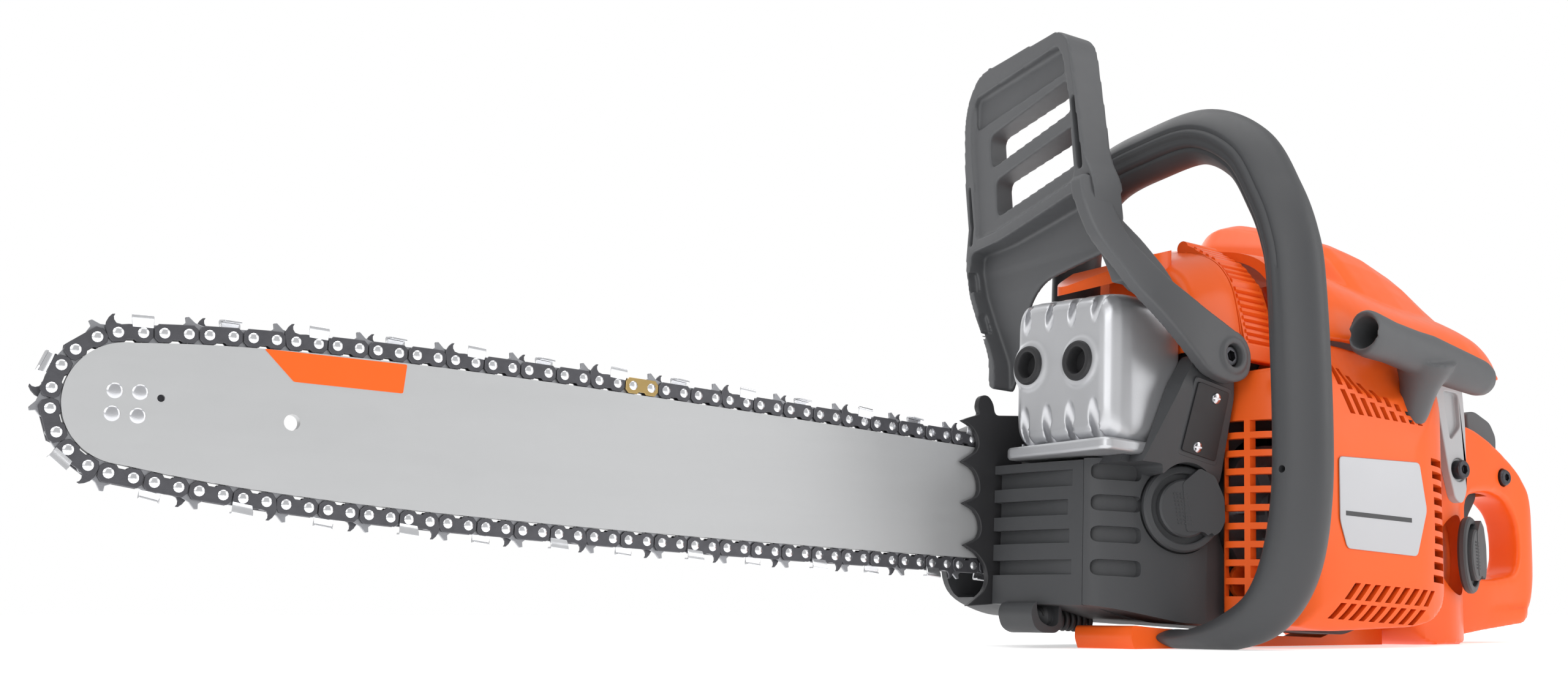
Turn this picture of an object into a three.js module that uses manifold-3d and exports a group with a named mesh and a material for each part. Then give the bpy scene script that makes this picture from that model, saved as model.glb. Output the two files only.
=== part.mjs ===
// Petrol chainsaw, millimetres, +Z up, bar tip toward -X, recoil starter side toward -Y.
// Every piece is drawn in the saw's own frame: origin on the crank axis in the plane of the bar,
// X along the bar's centre line. The whole saw is then tipped onto the ground it stands on.
import * as THREE from "three";
import { mergeVertices } from "three/addons/utils/BufferGeometryUtils.js";
import Module from "manifold-3d";

const wasm = await Module();
wasm.setup();
const { Manifold, Mesh } = wasm;

// ---------------------------------------------------------------- driving dimensions
const TILT_DEG = 3.2; // how far the bar's tip is lifted when the saw stands
const GROUND = -63.5; // height of the ground under the crank axis
const GAP = 0.3; // clearance between neighbouring pieces

const NOSE_X = -520; // centre of the bar's nose sprocket
const NOSE_R = 22.6; // rail radius round the nose
const BAR_TAIL_X = -33;
const BAR_THICK = 4.2;
const GROOVE = 1.8;
const CHAIN_WIDTH = 4.3;
const CHAIN_HEIGHT = 7.4; // strap height above the rail
const TANG_DEPTH = 5.2;
const DRIVE_R = 14.6; // root radius of the drive sprocket's chain seat
const CUTTERS = 18; // each side

const CASE_SPLIT_Y = -60; // joint between the crankcase halves
const CASE_RIGHT_Y = -6; // bar side face of the crankcase
const COVER_Y = -84.5; // back plane of the starter cover
const OUTER_Y = -125; // starter cover's outer face
const WALL = 3;

const CYL_Y = -53; // cylinder axis, above the crank
const BORE_R = 21;
const PIVOT = [-51, 70]; // x and z of the hand guard's pivot
const OIL_CAP = [-61, -82, -2];
const OIL_CAP_TURN = 17; // degrees the cap faces forward of the starter side
const FUEL_CAP = [150, -86, -8];
const FUEL_CAP_TURN = -24;

const HANDLE_X = -57; // plane of the front handle
const HANDLE_HALF = [13.9, 13.2]; // half width along X and across the tube

const rad = THREE.MathUtils.degToRad;

// ---------------------------------------------------------------- materials
const finish = (color, roughness, metalness = 0) =>
  new THREE.MeshStandardMaterial({ color, roughness, metalness });
const ORANGE = finish(0xe8642c, 0.35);
const GREY = finish(0x5f6062, 0.6);
const DARK = finish(0x3c3d3f, 0.6);
const BLACK = finish(0x1c1c1e, 0.7);
const LIGHT_GREY = finish(0xa9abad, 0.5);
const STEEL = finish(0xb9bbbd, 0.35, 1);
const DARK_STEEL = finish(0x4b4c4f, 0.4, 1);
const ALLOY = finish(0xa7a9ac, 0.5, 1);
const WHITE = finish(0xe6e7e8, 0.4);
const RUBBER = finish(0x1d1d1d, 0.9);

// ---------------------------------------------------------------- solids
function toSolid(geometry) {
  const bare = new THREE.BufferGeometry();
  bare.setAttribute("position", geometry.getAttribute("position"));
  if (geometry.index) bare.setIndex(geometry.index);
  const merged = mergeVertices(bare, 1e-4);
  const triVerts = new Uint32Array(merged.index.array);
  const vertProperties = merged.attributes.position.array;
  const made = new Manifold(new Mesh({ numProp: 3, vertProperties, triVerts }));
  if (made.volume() >= 0) return made;
  for (let i = 0; i < triVerts.length; i += 3) {
    [triVerts[i + 1], triVerts[i + 2]] = [triVerts[i + 2], triVerts[i + 1]];
  }
  return new Manifold(new Mesh({ numProp: 3, vertProperties, triVerts }));
}

const join = (parts) => parts.reduce((sum, part) => sum.add(part));
const cut = (body, parts) => parts.reduce((left, part) => left.subtract(part), body);
const common = (parts) => parts.reduce((left, part) => left.intersect(part));

// Corners of a polygon replaced by short arcs; each point is [x, y] or [x, y, radius].
function rounded(points, radius, steps = 2) {
  const out = [];
  points.forEach(([x, y, own], i) => {
    const r = own ?? radius;
    const corner = new THREE.Vector2(x, y);
    const [ax, ay] = points[(i + points.length - 1) % points.length];
    const [bx, by] = points[(i + 1) % points.length];
    const before = new THREE.Vector2(ax, ay).sub(corner);
    const after = new THREE.Vector2(bx, by).sub(corner);
    const reach = Math.min(r, before.length() / 2.2, after.length() / 2.2);
    if (!(reach > 0.05)) {
      out.push([x, y]);
      return;
    }
    const start = corner.clone().add(before.setLength(reach));
    const end = corner.clone().add(after.setLength(reach));
    for (let k = 0; k <= steps; k += 1) {
      const t = k / steps;
      const px = (1 - t) ** 2 * start.x + 2 * t * (1 - t) * corner.x + t * t * end.x;
      const py = (1 - t) ** 2 * start.y + 2 * t * (1 - t) * corner.y + t * t * end.y;
      out.push([px, py]);
    }
  });
  return out;
}

function shapeOf(points, holes = []) {
  const shape = new THREE.Shape(points.map(([x, y]) => new THREE.Vector2(x, y)));
  shape.holes = holes.map(
    (hole) => new THREE.Path(hole.map(([x, y]) => new THREE.Vector2(x, y))),
  );
  return shape;
}

const extrude = (points, depth, holes) =>
  new THREE.ExtrudeGeometry(shapeOf(points, holes), { depth, bevelEnabled: false });

// Outline drawn in X and Z, from yMin to yMax.
function plateXZ(points, yMin, yMax, holes) {
  const geometry = extrude(points, yMax - yMin, holes);
  return toSolid(geometry.rotateX(rad(90)).translate(0, yMax, 0));
}

// Outline drawn in X and Y, from zMin to zMax.
function plateXY(points, zMin, zMax, holes) {
  return toSolid(extrude(points, zMax - zMin, holes).translate(0, 0, zMin));
}

// Outline drawn in Y and Z, from xMin to xMax.
function plateYZ(points, xMin, xMax, holes) {
  const turn = new THREE.Matrix4().makeBasis(
    new THREE.Vector3(0, 1, 0),
    new THREE.Vector3(0, 0, 1),
    new THREE.Vector3(1, 0, 0),
  );
  return toSolid(
    extrude(points, xMax - xMin, holes).applyMatrix4(turn).translate(xMin, 0, 0),
  );
}

function box(x0, x1, y0, y1, z0, z1) {
  const geometry = new THREE.BoxGeometry(x1 - x0, y1 - y0, z1 - z0);
  return toSolid(geometry.translate((x0 + x1) / 2, (y0 + y1) / 2, (z0 + z1) / 2));
}

function rodY(x, z, radius, y0, y1, segments = 24, endRadius = radius) {
  const geometry = new THREE.CylinderGeometry(endRadius, radius, y1 - y0, segments);
  return toSolid(geometry.translate(x, (y0 + y1) / 2, z));
}

function rodZ(x, y, radius, z0, z1, segments = 24) {
  const geometry = new THREE.CylinderGeometry(radius, radius, z1 - z0, segments);
  return toSolid(geometry.rotateX(rad(90)).translate(x, y, (z0 + z1) / 2));
}

function rodX(y, z, radius, x0, x1, segments = 24) {
  const geometry = new THREE.CylinderGeometry(radius, radius, x1 - x0, segments);
  return toSolid(geometry.rotateZ(rad(90)).translate((x0 + x1) / 2, y, z));
}

// Rod between two points.
function rodBetween(a, b, radius, segments = 12, endRadius = radius) {
  const from = new THREE.Vector3(...a);
  const to = new THREE.Vector3(...b);
  const along = to.clone().sub(from);
  const geometry = new THREE.CylinderGeometry(endRadius, radius, along.length(), segments);
  geometry.translate(0, along.length() / 2, 0);
  const up = new THREE.Vector3(0, 1, 0);
  const turn = new THREE.Quaternion().setFromUnitVectors(up, along.normalize());
  return toSolid(geometry.applyQuaternion(turn).translate(...a));
}

// Skin over closed rings that hold the same number of points, closed at both ends by a fan.
function loft(rings) {
  const count = rings[0].length;
  const points = rings.flat();
  const index = [];
  for (let r = 0; r + 1 < rings.length; r += 1) {
    for (let k = 0; k < count; k += 1) {
      const a = r * count + k;
      const b = r * count + ((k + 1) % count);
      index.push(a, b, a + count, b, b + count, a + count);
    }
  }
  for (const [first, flip] of [[0, true], [(rings.length - 1) * count, false]]) {
    for (let k = 1; k + 1 < count; k += 1) {
      if (flip) index.push(first, first + k + 1, first + k);
      else index.push(first, first + k, first + k + 1);
    }
  }
  const geometry = new THREE.BufferGeometry().setFromPoints(
    points.map((p) => new THREE.Vector3(...p)),
  );
  geometry.setIndex(index);
  return toSolid(geometry);
}

// Solid of revolution about an axis along Y through (x, z); profile points are [radius, y].
function turned(x, z, profile, segments = 32) {
  const points = profile.map(([r, y]) => new THREE.Vector2(r, y));
  points.push(points[0].clone());
  return toSolid(new THREE.LatheGeometry(points, segments).translate(x, 0, z));
}

// A piece drawn facing -Y about the origin, turned about Z and placed.
function facing(solid, [x, y, z], degrees) {
  return solid.rotate([0, 0, -degrees]).translate([x, y, z]);
}

const pieces = [];
function add(name, solid, material) {
  pieces.push([name, solid, material]);
}

// ---------------------------------------------------------------- guide bar and chain
const railHeight = (s) => NOSE_R + 8.34 * (1 - Math.exp(-s / 60)) - 2.37e-5 * s * s;

const RAIL_STEPS = [0, 14, 35, 70, 120, 200, 300, 390, 450]; // distances behind the nose centre

// Points of the rail's outline grown by an offset, from the top of the rail's end round the nose
// to the bottom of the rail's end. The tail beyond the rail, if any, narrows to the given half.
function railLoop(offset, tailX = null, tailHalf = 0) {
  const top = RAIL_STEPS.map((s) => [NOSE_X + s, railHeight(s) + offset]);
  if (tailX !== null) top.push([tailX, tailHalf + offset]);
  const nose = [];
  for (let i = 1; i < 12; i += 1) {
    const a = rad(90 + (180 * i) / 12);
    nose.push([NOSE_X + (NOSE_R + offset) * Math.cos(a), (NOSE_R + offset) * Math.sin(a)]);
  }
  const bottom = top.map(([x, z]) => [x, -z]);
  return [...top.reverse(), ...nose, ...bottom];
}

const TAIL_HALF = 18.5;
const barOutline = railLoop(0, BAR_TAIL_X, TAIL_HALF);
const barGroove = plateXZ(railLoop(1, BAR_TAIL_X + 5, TAIL_HALF), -GROOVE / 2, GROOVE / 2).subtract(
  plateXZ(railLoop(-6, BAR_TAIL_X + 9, TAIL_HALF), -GROOVE, GROOVE),
);
const noseSlot = rodY(NOSE_X, 0, NOSE_R - 5, -GROOVE / 2, GROOVE / 2, 32).subtract(
  rodY(NOSE_X, 0, 5, -GROOVE, GROOVE, 16),
);
const tailSlot = plateXZ(
  rounded([[-92, 4.1], [-92, -4.1], [-20, -4.1], [-20, 4.1]], 3.5),
  -BAR_THICK,
  BAR_THICK,
);
add(
  "guide_bar",
  cut(plateXZ(barOutline, -BAR_THICK / 2, BAR_THICK / 2), [
    barGroove,
    noseSlot,
    tailSlot,
    rodY(-60, 16, 3.2, -5, 5, 12),
    rodY(-60, -16, 3.2, -5, 5, 12),
    rodY(-459, 0, 3.4, -5, 5, 12),
    rodY(-508, 3.3, 1.4, -5, 5, 8),
  ]),
  STEEL,
);

const toothedDisc = (x, root, tip, teeth, y0, y1) => {
  const points = [];
  for (let i = 0; i < teeth; i += 1) {
    for (const [step, r] of [[0, root], [0.3, root], [0.45, tip], [0.75, tip]]) {
      const a = (2 * Math.PI * (i + step)) / teeth;
      points.push([x + r * Math.cos(a), r * Math.sin(a)]);
    }
  }
  return plateXZ(points, y0, y1);
};
add(
  "nose_sprocket",
  toothedDisc(NOSE_X, 13.5, 16, 10, -0.6, 0.6).subtract(rodY(NOSE_X, 0, 5.4, -2, 2, 16)),
  DARK_STEEL,
);

// The chain rides the rail, then runs straight to the drive sprocket.
function chainLoop(offset) {
  const wheel = [];
  for (let i = 0; i <= 8; i += 1) {
    const a = rad(-90 + (180 * i) / 8);
    wheel.push([(DRIVE_R + offset) * Math.cos(a), (DRIVE_R + offset) * Math.sin(a)]);
  }
  return [...railLoop(offset), ...wheel];
}

const chainBody = plateXZ(chainLoop(CHAIN_HEIGHT), -CHAIN_WIDTH / 2, CHAIN_WIDTH / 2, [
  chainLoop(GAP),
]);
const chainTangs = plateXZ(chainLoop(1), -0.6, 0.6, [chainLoop(-TANG_DEPTH)]).subtract(
  box(-20, 40, -2, 2, -40, 40),
);
// Walks the chain's pitch line and returns the point and direction at a share of its length.
function alongChain(offset) {
  const loop = chainLoop(offset);
  const lengths = loop.map(([x, z], i) => {
    const [nx, nz] = loop[(i + 1) % loop.length];
    return Math.hypot(nx - x, nz - z);
  });
  const total = lengths.reduce((a, b) => a + b);
  return (share) => {
    let left = ((share % 1) + 1) % 1 * total;
    let i = 0;
    while (left > lengths[i]) {
      left -= lengths[i];
      i += 1;
    }
    const [x, z] = loop[i];
    const [nx, nz] = loop[(i + 1) % loop.length];
    const t = left / lengths[i];
    return [x + (nx - x) * t, z + (nz - z) * t, Math.atan2(nz - z, nx - x)];
  };
}
const chainPoint = alongChain(CHAIN_HEIGHT - 1);
const cutterTeeth = [];
for (let i = 0; i < CUTTERS * 2; i += 1) {
  const [x, z, angle] = chainPoint(i / (CUTTERS * 2));
  const side = i % 2 ? 1 : -1;
  const y0 = side < 0 ? -3.6 : 0.4;
  const tooth = plateXZ([[-6, 0], [-6, -5.6], [2.5, -5.2], [5, -2.6], [5, 0]], y0, y0 + 3.2);
  cutterTeeth.push(tooth.rotate([0, -THREE.MathUtils.radToDeg(angle), 0]).translate([x, 0, z]));
}
add("saw_chain", join([chainBody, chainTangs, ...cutterTeeth]), DARK_STEEL);

// ---------------------------------------------------------------- crankcase
const FRONT_PLAN = [[-111, -6], [-108, -30], [-106, -45], [-102.5, -60]];
const caseSide = rounded(
  [[-115, 18], [-115, -48], [-96, -54], [-60, -56], [60, -54], [84, -44], [84, 22], [60, 44],
    [36, 46], [-36, 46], [-44, 30], [-60, 19]],
  5,
);
const rightPlan = [...FRONT_PLAN, [84, -60], [84, -6]];
const ribs = [0, 1, 2, 3].map((i) =>
  box(-120, -103.5, -56, -10, 9 - 14 * i - 4.4, 9 - 14 * i + 2.6),
);
const crankcaseRight = cut(
  common([
    plateXZ(caseSide, CASE_SPLIT_Y + GAP / 2, CASE_RIGHT_Y),
    plateXY(rightPlan, -70, 60),
  ]),
  [
    ...ribs,
    rodY(0, 0, 37, -62, -33, 32),
    rodY(0, 0, 9, -40, 0, 20),
    rodZ(0, CYL_Y, 24, 0, 60, 28),
    box(-98, -48, -62, -14, -46, 8),
    box(-16, 20, -20, 0, -34, -17),
  ],
);
const barPad = plateXZ(
  rounded([[-92, 14], [-92, -14], [-30, -14], [-30, 14]], 4),
  CASE_RIGHT_Y - 1,
  -BAR_THICK / 2 - GAP,
);
const handleLug = join([box(-71, -43, -15.5, 2, 51, 57.6), box(-71, -43, -15.5, -6.5, 10, 57.6)]);
add(
  "crankcase_right",
  cut(join([crankcaseRight, barPad, handleLug]), [
    rodY(-45, 0, 3.9, -18, 0, 16),
    rodY(-80, 0, 3.9, -18, 0, 16),
  ]),
  DARK,
);

const leftPlan = rounded(
  [[-102.5, -60 - GAP / 2], [-99, -66], [-88, -73], [-62, -81], [-45, -84], [98, -84],
    [98, -60 - GAP / 2]],
  0,
);
const leftSide = rounded(
  [[-103, 19], [-103, -48], [-90, -55], [-60, -57], [50, -55], [84, -44], [97, -20], [97, 40],
    [84, 60], [60, 78], [-41, 80], [-50, 60], [-76, 24], [-90, 19]],
  4,
);
const buttressSide = rounded([[-93, 14], [-74, 56], [-66, 70], [-42, 70.6], [-42, 14]], 3);
const buttressFace = [[-60 - GAP / 2, 10], [-88, 10], [-90, 20], [-97, 52], [-97, 90],
  [-60 - GAP / 2, 90]];
const pocket = (z) => plateXZ(
  rounded([[-99, z + 4.5], [-99, z - 4.5], [-82, z - 4.5], [-82, z + 4.5]], 3),
  -90,
  -60,
);
const frontSkin = plateXY([[-110, -55], [-110, -62], [-96, -66.5], [-80, -73], [-80, -55]], -60, 30);
add(
  "crankcase_left",
  cut(
    join([
      common([
        plateXZ(leftSide, -84, CASE_SPLIT_Y - GAP / 2),
        plateXY(leftPlan, -70, 90),
      ]),
      common([
        plateXZ(buttressSide, -97, CASE_SPLIT_Y - GAP / 2),
        plateYZ(buttressFace, -100, -41.8),
      ]),
      rodY(PIVOT[0], PIVOT[1], 9, -98, -80, 20),
    ]),
    [
      rodY(0, 0, 37, -75, -50, 32),
      rodY(0, 0, 40, -90, -75, 32),
      rodY(0, 0, 9, -90, -50, 20),
      rodZ(0, CYL_Y, 24, 0, 90, 28),
      rodZ(0, CYL_Y, 33.4, 46, 100, 28),
      box(-33, 33, CYL_Y - 23, -50, 46, 60),
      box(-62, 0, CYL_Y - 16, -50, 57, 83),
      box(0, 50, CYL_Y - 16, -50, 57, 83),
      box(-120, -59.6, -86.7, -50, 20.4, 102),
      box(34, 53, -100, -76, -17, 17),
      box(-92, -48, -72, -58, -46, 8),
      facing(rodY(0, 0, 21, -12, 12, 28), OIL_CAP, OIL_CAP_TURN),
      rodY(PIVOT[0], PIVOT[1], 3.3, -100, -82, 12),
      rodY(-24, 57, 2.4, -90, -74, 10),
      rodY(-25, -34, 2.4, -90, -74, 10),
      box(44, 90, -90, -55, 34, 90),
      ...[11, -4, -19, -34].map((z) => pocket(z).intersect(
        frontSkin.translate([-1.5, -3.5, 0]).subtract(frontSkin.translate([2.2, 2.2, 0])),
      )),
    ],
  ),
  DARK,
);

// ---------------------------------------------------------------- engine
const fins = [];
for (let i = 0; i < 4; i += 1) {
  fins.push(rodZ(0, CYL_Y, 31, 54 + i * 11, 57 + i * 11, 14));
}
add(
  "cylinder",
  cut(
    join([
      rodZ(0, CYL_Y, 25.5, 46.5, 98, 24),
      box(-32, 32, CYL_Y - 22, CYL_Y + 22, 46.5, 50),
      box(-50, 0, CYL_Y - 13, CYL_Y + 13, 60, 80),
      box(0, 44, CYL_Y - 13, CYL_Y + 13, 60, 80),
      ...fins,
    ]),
    [
      rodZ(0, CYL_Y, BORE_R, 40, 92, 28),
      rodX(CYL_Y, 70, 8, -60, 50, 16),
      rodBetween([4, CYL_Y, 88], [12, CYL_Y, 110], 5, 12),
    ],
  ),
  ALLOY,
);
add(
  "piston",
  cut(rodZ(0, CYL_Y, BORE_R - GAP, 44, 74, 28), [
    rodZ(0, CYL_Y, BORE_R - 4, 40, 69, 24),
    rodY(0, 58, 4.3, CYL_Y - 30, CYL_Y + 30, 12),
  ]),
  ALLOY,
);
add(
  "connecting_rod",
  join([
    rodY(0, 58, 7, CYL_Y - 4, CYL_Y + 4, 16),
    rodY(0, 58, 4, CYL_Y - 20, CYL_Y + 20, 12),
    rodY(0, 0, 11, CYL_Y - 4, CYL_Y + 4, 20),
    box(-4, 4, CYL_Y - 2.5, CYL_Y + 2.5, 4, 56),
  ]),
  STEEL,
);
const web = (y0, y1) => rodY(0, 0, 28.4, y0, y1, 24).subtract(box(-40, 40, -99, 0, 20, 40));
add(
  "crank_half_starter",
  join([web(-70, -58.5), rodY(0, 0, 7, -104, -69, 16)]),
  STEEL,
);
add(
  "crank_half_clutch",
  join([web(-47.5, -36), rodY(0, 0, 6, -37, 36, 16)]),
  STEEL,
);
const vanes = [];
for (let i = 0; i < 6; i += 1) {
  vanes.push(box(14, 26, -91, -84, -1.2, 1.2).rotate([0, i * 60, 0]));
}
add(
  "flywheel",
  join([rodY(0, 0, 34.6, -84.2, -77, 24), rodY(0, 0, 11, -93, -77, 16), ...vanes]).subtract(
    rodY(0, 0, 7.3, -110, -60, 16),
  ),
  ALLOY,
);
add(
  "starter_pulley",
  turned(0, 0, [[7.4, -111], [25, -111], [25, -109.6], [20, -108.6], [20, -104.6], [25, -103.6],
    [25, -102], [7.4, -102]], 24),
  BLACK,
);
add("recoil_spring", turned(0, 0, [[8, -118], [14, -118], [14, -112], [8, -112]], 20), STEEL);
add(
  "ignition_coil",
  join([box(30, 45, -83, -78, -15, 15), box(41, 52, -88, -76.4, -9, 9)]).subtract(
    rodY(0, 0, 35.6, -99, -60, 32),
  ),
  BLACK,
);
add(
  "spark_plug",
  join([
    rodBetween([4.7, CYL_Y, 91], [12.3, CYL_Y, 112], 4.5, 12),
    rodBetween([8.6, CYL_Y, 102], [10.6, CYL_Y, 107.5], 8.5, 6),
    rodBetween([12, CYL_Y, 111], [16, CYL_Y, 122], 6.5, 12),
  ]).subtract(box(0, 20, -70, -30, 80, 98).subtract(rodBetween([3, CYL_Y, 86], [12, CYL_Y, 112], 4.6))),
  WHITE,
);
add(
  "intake_boot",
  box(44.4, 66, CYL_Y - 12, CYL_Y + 12, 60, 80).subtract(rodX(CYL_Y, 70, 8, 40, 70, 16)),
  RUBBER,
);
add(
  "carburetor",
  join([
    box(66.4, 92, CYL_Y - 18, CYL_Y + 18, 56, 86),
    rodY(79, 64, 4, CYL_Y - 26, CYL_Y + 26, 12),
  ]).subtract(rodX(CYL_Y, 70, 8, 60, 95, 16)),
  ALLOY,
);
add(
  "air_filter",
  join([box(92.4, 122, -64, CYL_Y + 40, 66, 130), box(96, 118, -56, -20, 128, 136)]),
  LIGHT_GREY,
);

// ---------------------------------------------------------------- clutch side
add(
  "clutch_drum",
  join([
    toothedDisc(0, 10.5, 14.2, 7, -5, 5),
    turned(0, 0, [[7, 5], [33, 10], [33, 34], [31, 34], [31, 12.5], [7, 9]], 24),
    rodY(0, 0, 11, 4, 9, 20),
  ]).subtract(rodY(0, 0, 6.6, -10, 14, 20)),
  DARK_STEEL,
);
const shoes = [];
for (let i = 0; i < 3; i += 1) {
  shoes.push(box(-1.5, 1.5, 12, 36, 14, 40).rotate([0, i * 120, 0]));
}
add(
  "clutch_hub",
  cut(join([turned(0, 0, [[6.4, 15], [28, 15], [28, 31], [6.4, 31]], 28)]), shoes),
  STEEL,
);
add(
  "brake_band",
  turned(0, 0, [[34, 14], [35.2, 14], [35.2, 28], [34, 28]], 24).subtract(
    box(-60, -20, 0, 40, -3, 14),
  ),
  STEEL,
);
add("oil_pump", join([box(-15, 19, -19, -6.3, -33, -18.5), rodY(6, -26, 5, -6.6, -5.4, 12)]), ALLOY);
for (const [name, x] of [["bar_stud_front", -80], ["bar_stud_rear", -45]]) {
  add(
    name,
    join([
      rodY(x, 0, 3.6, -17, 60, 12),
      rodY(x, 0, 8.5, 50.4, 52, 20),
      rodY(x, 0, 7.2, 51.5, 58, 6),
    ]),
    STEEL,
  );
}
const clutchSide = rounded(
  [[-100, 40], [-104, 0], [-98, -42], [-76, -52], [34, -52], [60, -38], [64, 20], [44, 52],
    [-30, 56], [-80, 50]],
  9,
);
const clutchInner = rounded(
  [[-120, 36], [-120, -38], [-74, -48], [32, -48], [56, -36], [60, 18], [42, 48], [-30, 50],
    [-78, 44]],
  7,
);
const clutchFace = [[2.6, -60], [40, -60], [50, -44], [50, 46], [38, 60], [2.6, 60]];
const clutchFaceInner = [[2, -60], [37, -60], [46, -42], [46, 44], [35, 60], [2, 60]];
add(
  "clutch_cover",
  cut(
    join([
      cut(common([plateXZ(clutchSide, 2.6, 50), plateYZ(clutchFace, -110, 70)]), [
        common([plateXZ(clutchInner, 2, 46), plateYZ(clutchFaceInner, -130, 62)]),
      ]),
      rodY(-80, 0, 9, 2.7, 48, 16),
      rodY(-45, 0, 9, 2.7, 48, 16).subtract(rodY(0, 0, 36, 0, 60, 30)),
    ]),
    [
      rodY(-80, 0, 4, 0, 60, 12),
      rodY(-45, 0, 4, 0, 60, 12),
      ...[-24, -8, 8, 24].map((z) => box(-22, 30, 44, 60, z - 3, z + 3)),
    ],
  ),
  DARK,
);

// ---------------------------------------------------------------- muffler and spikes
const mufflerFront = rounded([[-86.4, 92], [-86.4, 34], [-79, 26], [-24, 24], [-17, 34], [-17, 96],
  [-24, 100], [-79, 97]], 5);
const flutes = [-76, -60, -44, -28].flatMap((y) => [
  rodBetween([-113.4, y, 92], [-112.6, y, 78], 2.6, 8),
  rodBetween([-113, y, 44], [-113, y, 31], 2.6, 8),
]);
const ports = [[-31, 66], [-66, 64]].map(([y, z]) => [y, z]);
add(
  "muffler",
  cut(
    join([
      plateYZ(mufflerFront, -112, -67.5),
      plateYZ(rounded([[-86.4, 28], [-86.4, 22], [-16, 20], [-16, 28]], 2), -114, -66.8),
      ...ports.map(([y, z]) => rodX(y, z, 9.5, -116, -110, 24)),
    ]),
    [
      plateYZ(rounded([[-83, 90], [-83, 36], [-77, 29], [-26, 28], [-20, 36], [-20, 94]], 4), -109, -70),
      ...ports.map(([y, z]) => rodX(y, z, 6, -120, -100, 20)),
      rodX(CYL_Y, 70, 8, -75, -55, 16),
      ...flutes,
      box(-120, -55, -100, 0, 10, 19.3),
    ],
  ),
  STEEL,
);
add(
  "exhaust_gasket",
  box(-66.4, -50.4, CYL_Y - 15, CYL_Y + 15, 58, 82).subtract(rodX(CYL_Y, 70, 8, -70, -40, 16)),
  DARK_STEEL,
);
const spikes = [
  [-97, 46], [-117, 48], [-124, 52], [-129, 46], [-123, 43], [-124, 34], [-134, 20], [-123, 24],
  [-120, 10], [-134, -2], [-122, 1], [-119, -12], [-133, -22], [-121, -21], [-116, -38],
  [-130, -51], [-112, -48], [-97, -44],
];
add(
  "spike_bumper",
  plateXZ(spikes, CASE_RIGHT_Y + GAP, -BAR_THICK / 2 - 0.6).subtract(
    plateXZ([[-94, 15], [-94, -15], [-90, -15], [-90, 15]], -10, 0),
  ),
  BLACK,
);

// ---------------------------------------------------------------- starter cover
const coverSide = [[-41, -48], [-41, 58], [-35, 66], [-13, 68], [-8, 80], [5, 83], [58, 82], [84, 64], [100, 42],
  [103, 10], [98, -16], [84, -38], [62, -50], [-5, -56], [-34, -54]];
const coverPlan = [[-41, COVER_Y], [-33, -111], [-20, -123.5], [-2, OUTER_Y], [62, OUTER_Y], [84, -119],
  [101, -104], [103, COVER_Y]];
const coverEdge = [[COVER_Y, -58], [-116, -58], [-123, -50], [OUTER_Y, -40], [OUTER_Y, 40],
  [-120, 70], [-113, 84], [COVER_Y, 86]];
const inset = (points, by, [cx, cy]) => points.map(([x, y]) => {
  const dx = x - cx;
  const dy = y - cy;
  return [cx + dx * (1 - by / Math.max(Math.abs(dx), by * 4)),
    cy + dy * (1 - by / Math.max(Math.abs(dy), by * 4))];
});
const coverBowl = rodBetween([48, -150, 64], [66, -118, 58], 27, 24);
const coverShell = cut(
  common([
    plateXZ(rounded(coverSide, 12), OUTER_Y, COVER_Y),
    plateXY(rounded(coverPlan, 6), -60, 90),
    plateYZ(rounded(coverEdge, 4), -50, 110),
  ]),
  [
    common([
      plateXZ(rounded(inset(coverSide, WALL, [30, 5]), 10, 1), OUTER_Y + WALL, COVER_Y + 1),
      plateXY(
        rounded(inset(coverPlan, WALL, [30, COVER_Y]), 5, 1).map(([x, y]) => [x, y + 0.5]),
        -60,
        90,
      ),
      plateYZ(rounded(inset(coverEdge, WALL, [COVER_Y, 5]), 3, 1), -50, 110),
    ]).translate([0, 0.6, 0]),
  ],
);
const sideSlots = [];
for (let i = 0; i < 9; i += 1) {
  sideSlots.push(box(-60, -31, -108, -88, 41.5 - i * 8.6 - 5.6, 41.5 - i * 8.6));
  sideSlots.push(box(71, 86, -130, -100, 33 - i * 6.4 - 4, 33 - i * 6.4));
}
for (let i = 0; i < 7; i += 1) {
  const lean = [[0, 0], [5, 0], [12, -13], [7, -13]];
  const top = lean.map(([x, z]) => [x + 2 + i * 7.4, z + 74 - i * 1.6]);
  const low = lean.map(([x, z]) => [x - 6 + i * 7.6, z - 32 - (6 - i) * 0.4]);
  sideSlots.push(plateXZ(top, -130, -108), plateXZ(low, -130, -108));
}
const sideRib = plateXY([[-38, -96], [-37.4, -99], [-34.5, -99], [-34.5, -96]], -40, 46);
add(
  "starter_cover",
  cut(join([
    cut(coverShell, sideSlots),
    rodY(-24, 57, 7.6, -112, COVER_Y, 16),
    rodY(-25, -34, 7.6, -112, COVER_Y, 16),
    sideRib,
  ]), [
    rodY(-24, 57, 2.6, -130, -60, 10),
    rodY(-25, -34, 2.6, -130, -60, 10),
    rodY(-24, 57, 5.4, -130, -93, 12),
    rodY(-25, -34, 5.4, -130, -93, 12),
    rodBetween([59, -134, 86], [60.2, -117, 50], 9.6, 14, 7.5),
  ]),
  ORANGE,
);
for (const [name, x, z] of [["cover_screw_top", -24, 57], ["cover_screw_bottom", -25, -34]]) {
  add(name, join([rodY(x, z, 2.1, -95, -79, 8), rodY(x, z, 5, -97, -93.3, 12)]), DARK_STEEL);
}
add(
  "label_plate",
  plateXZ(rounded([[-2, 26], [61, 29], [66, 6], [57, -17], [3, -17], [-2, -4]], 2), OUTER_Y - 0.9, OUTER_Y - 0.3),
  WHITE,
);

// ---------------------------------------------------------------- cylinder cover and latches
const lidBase = 85;
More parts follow.
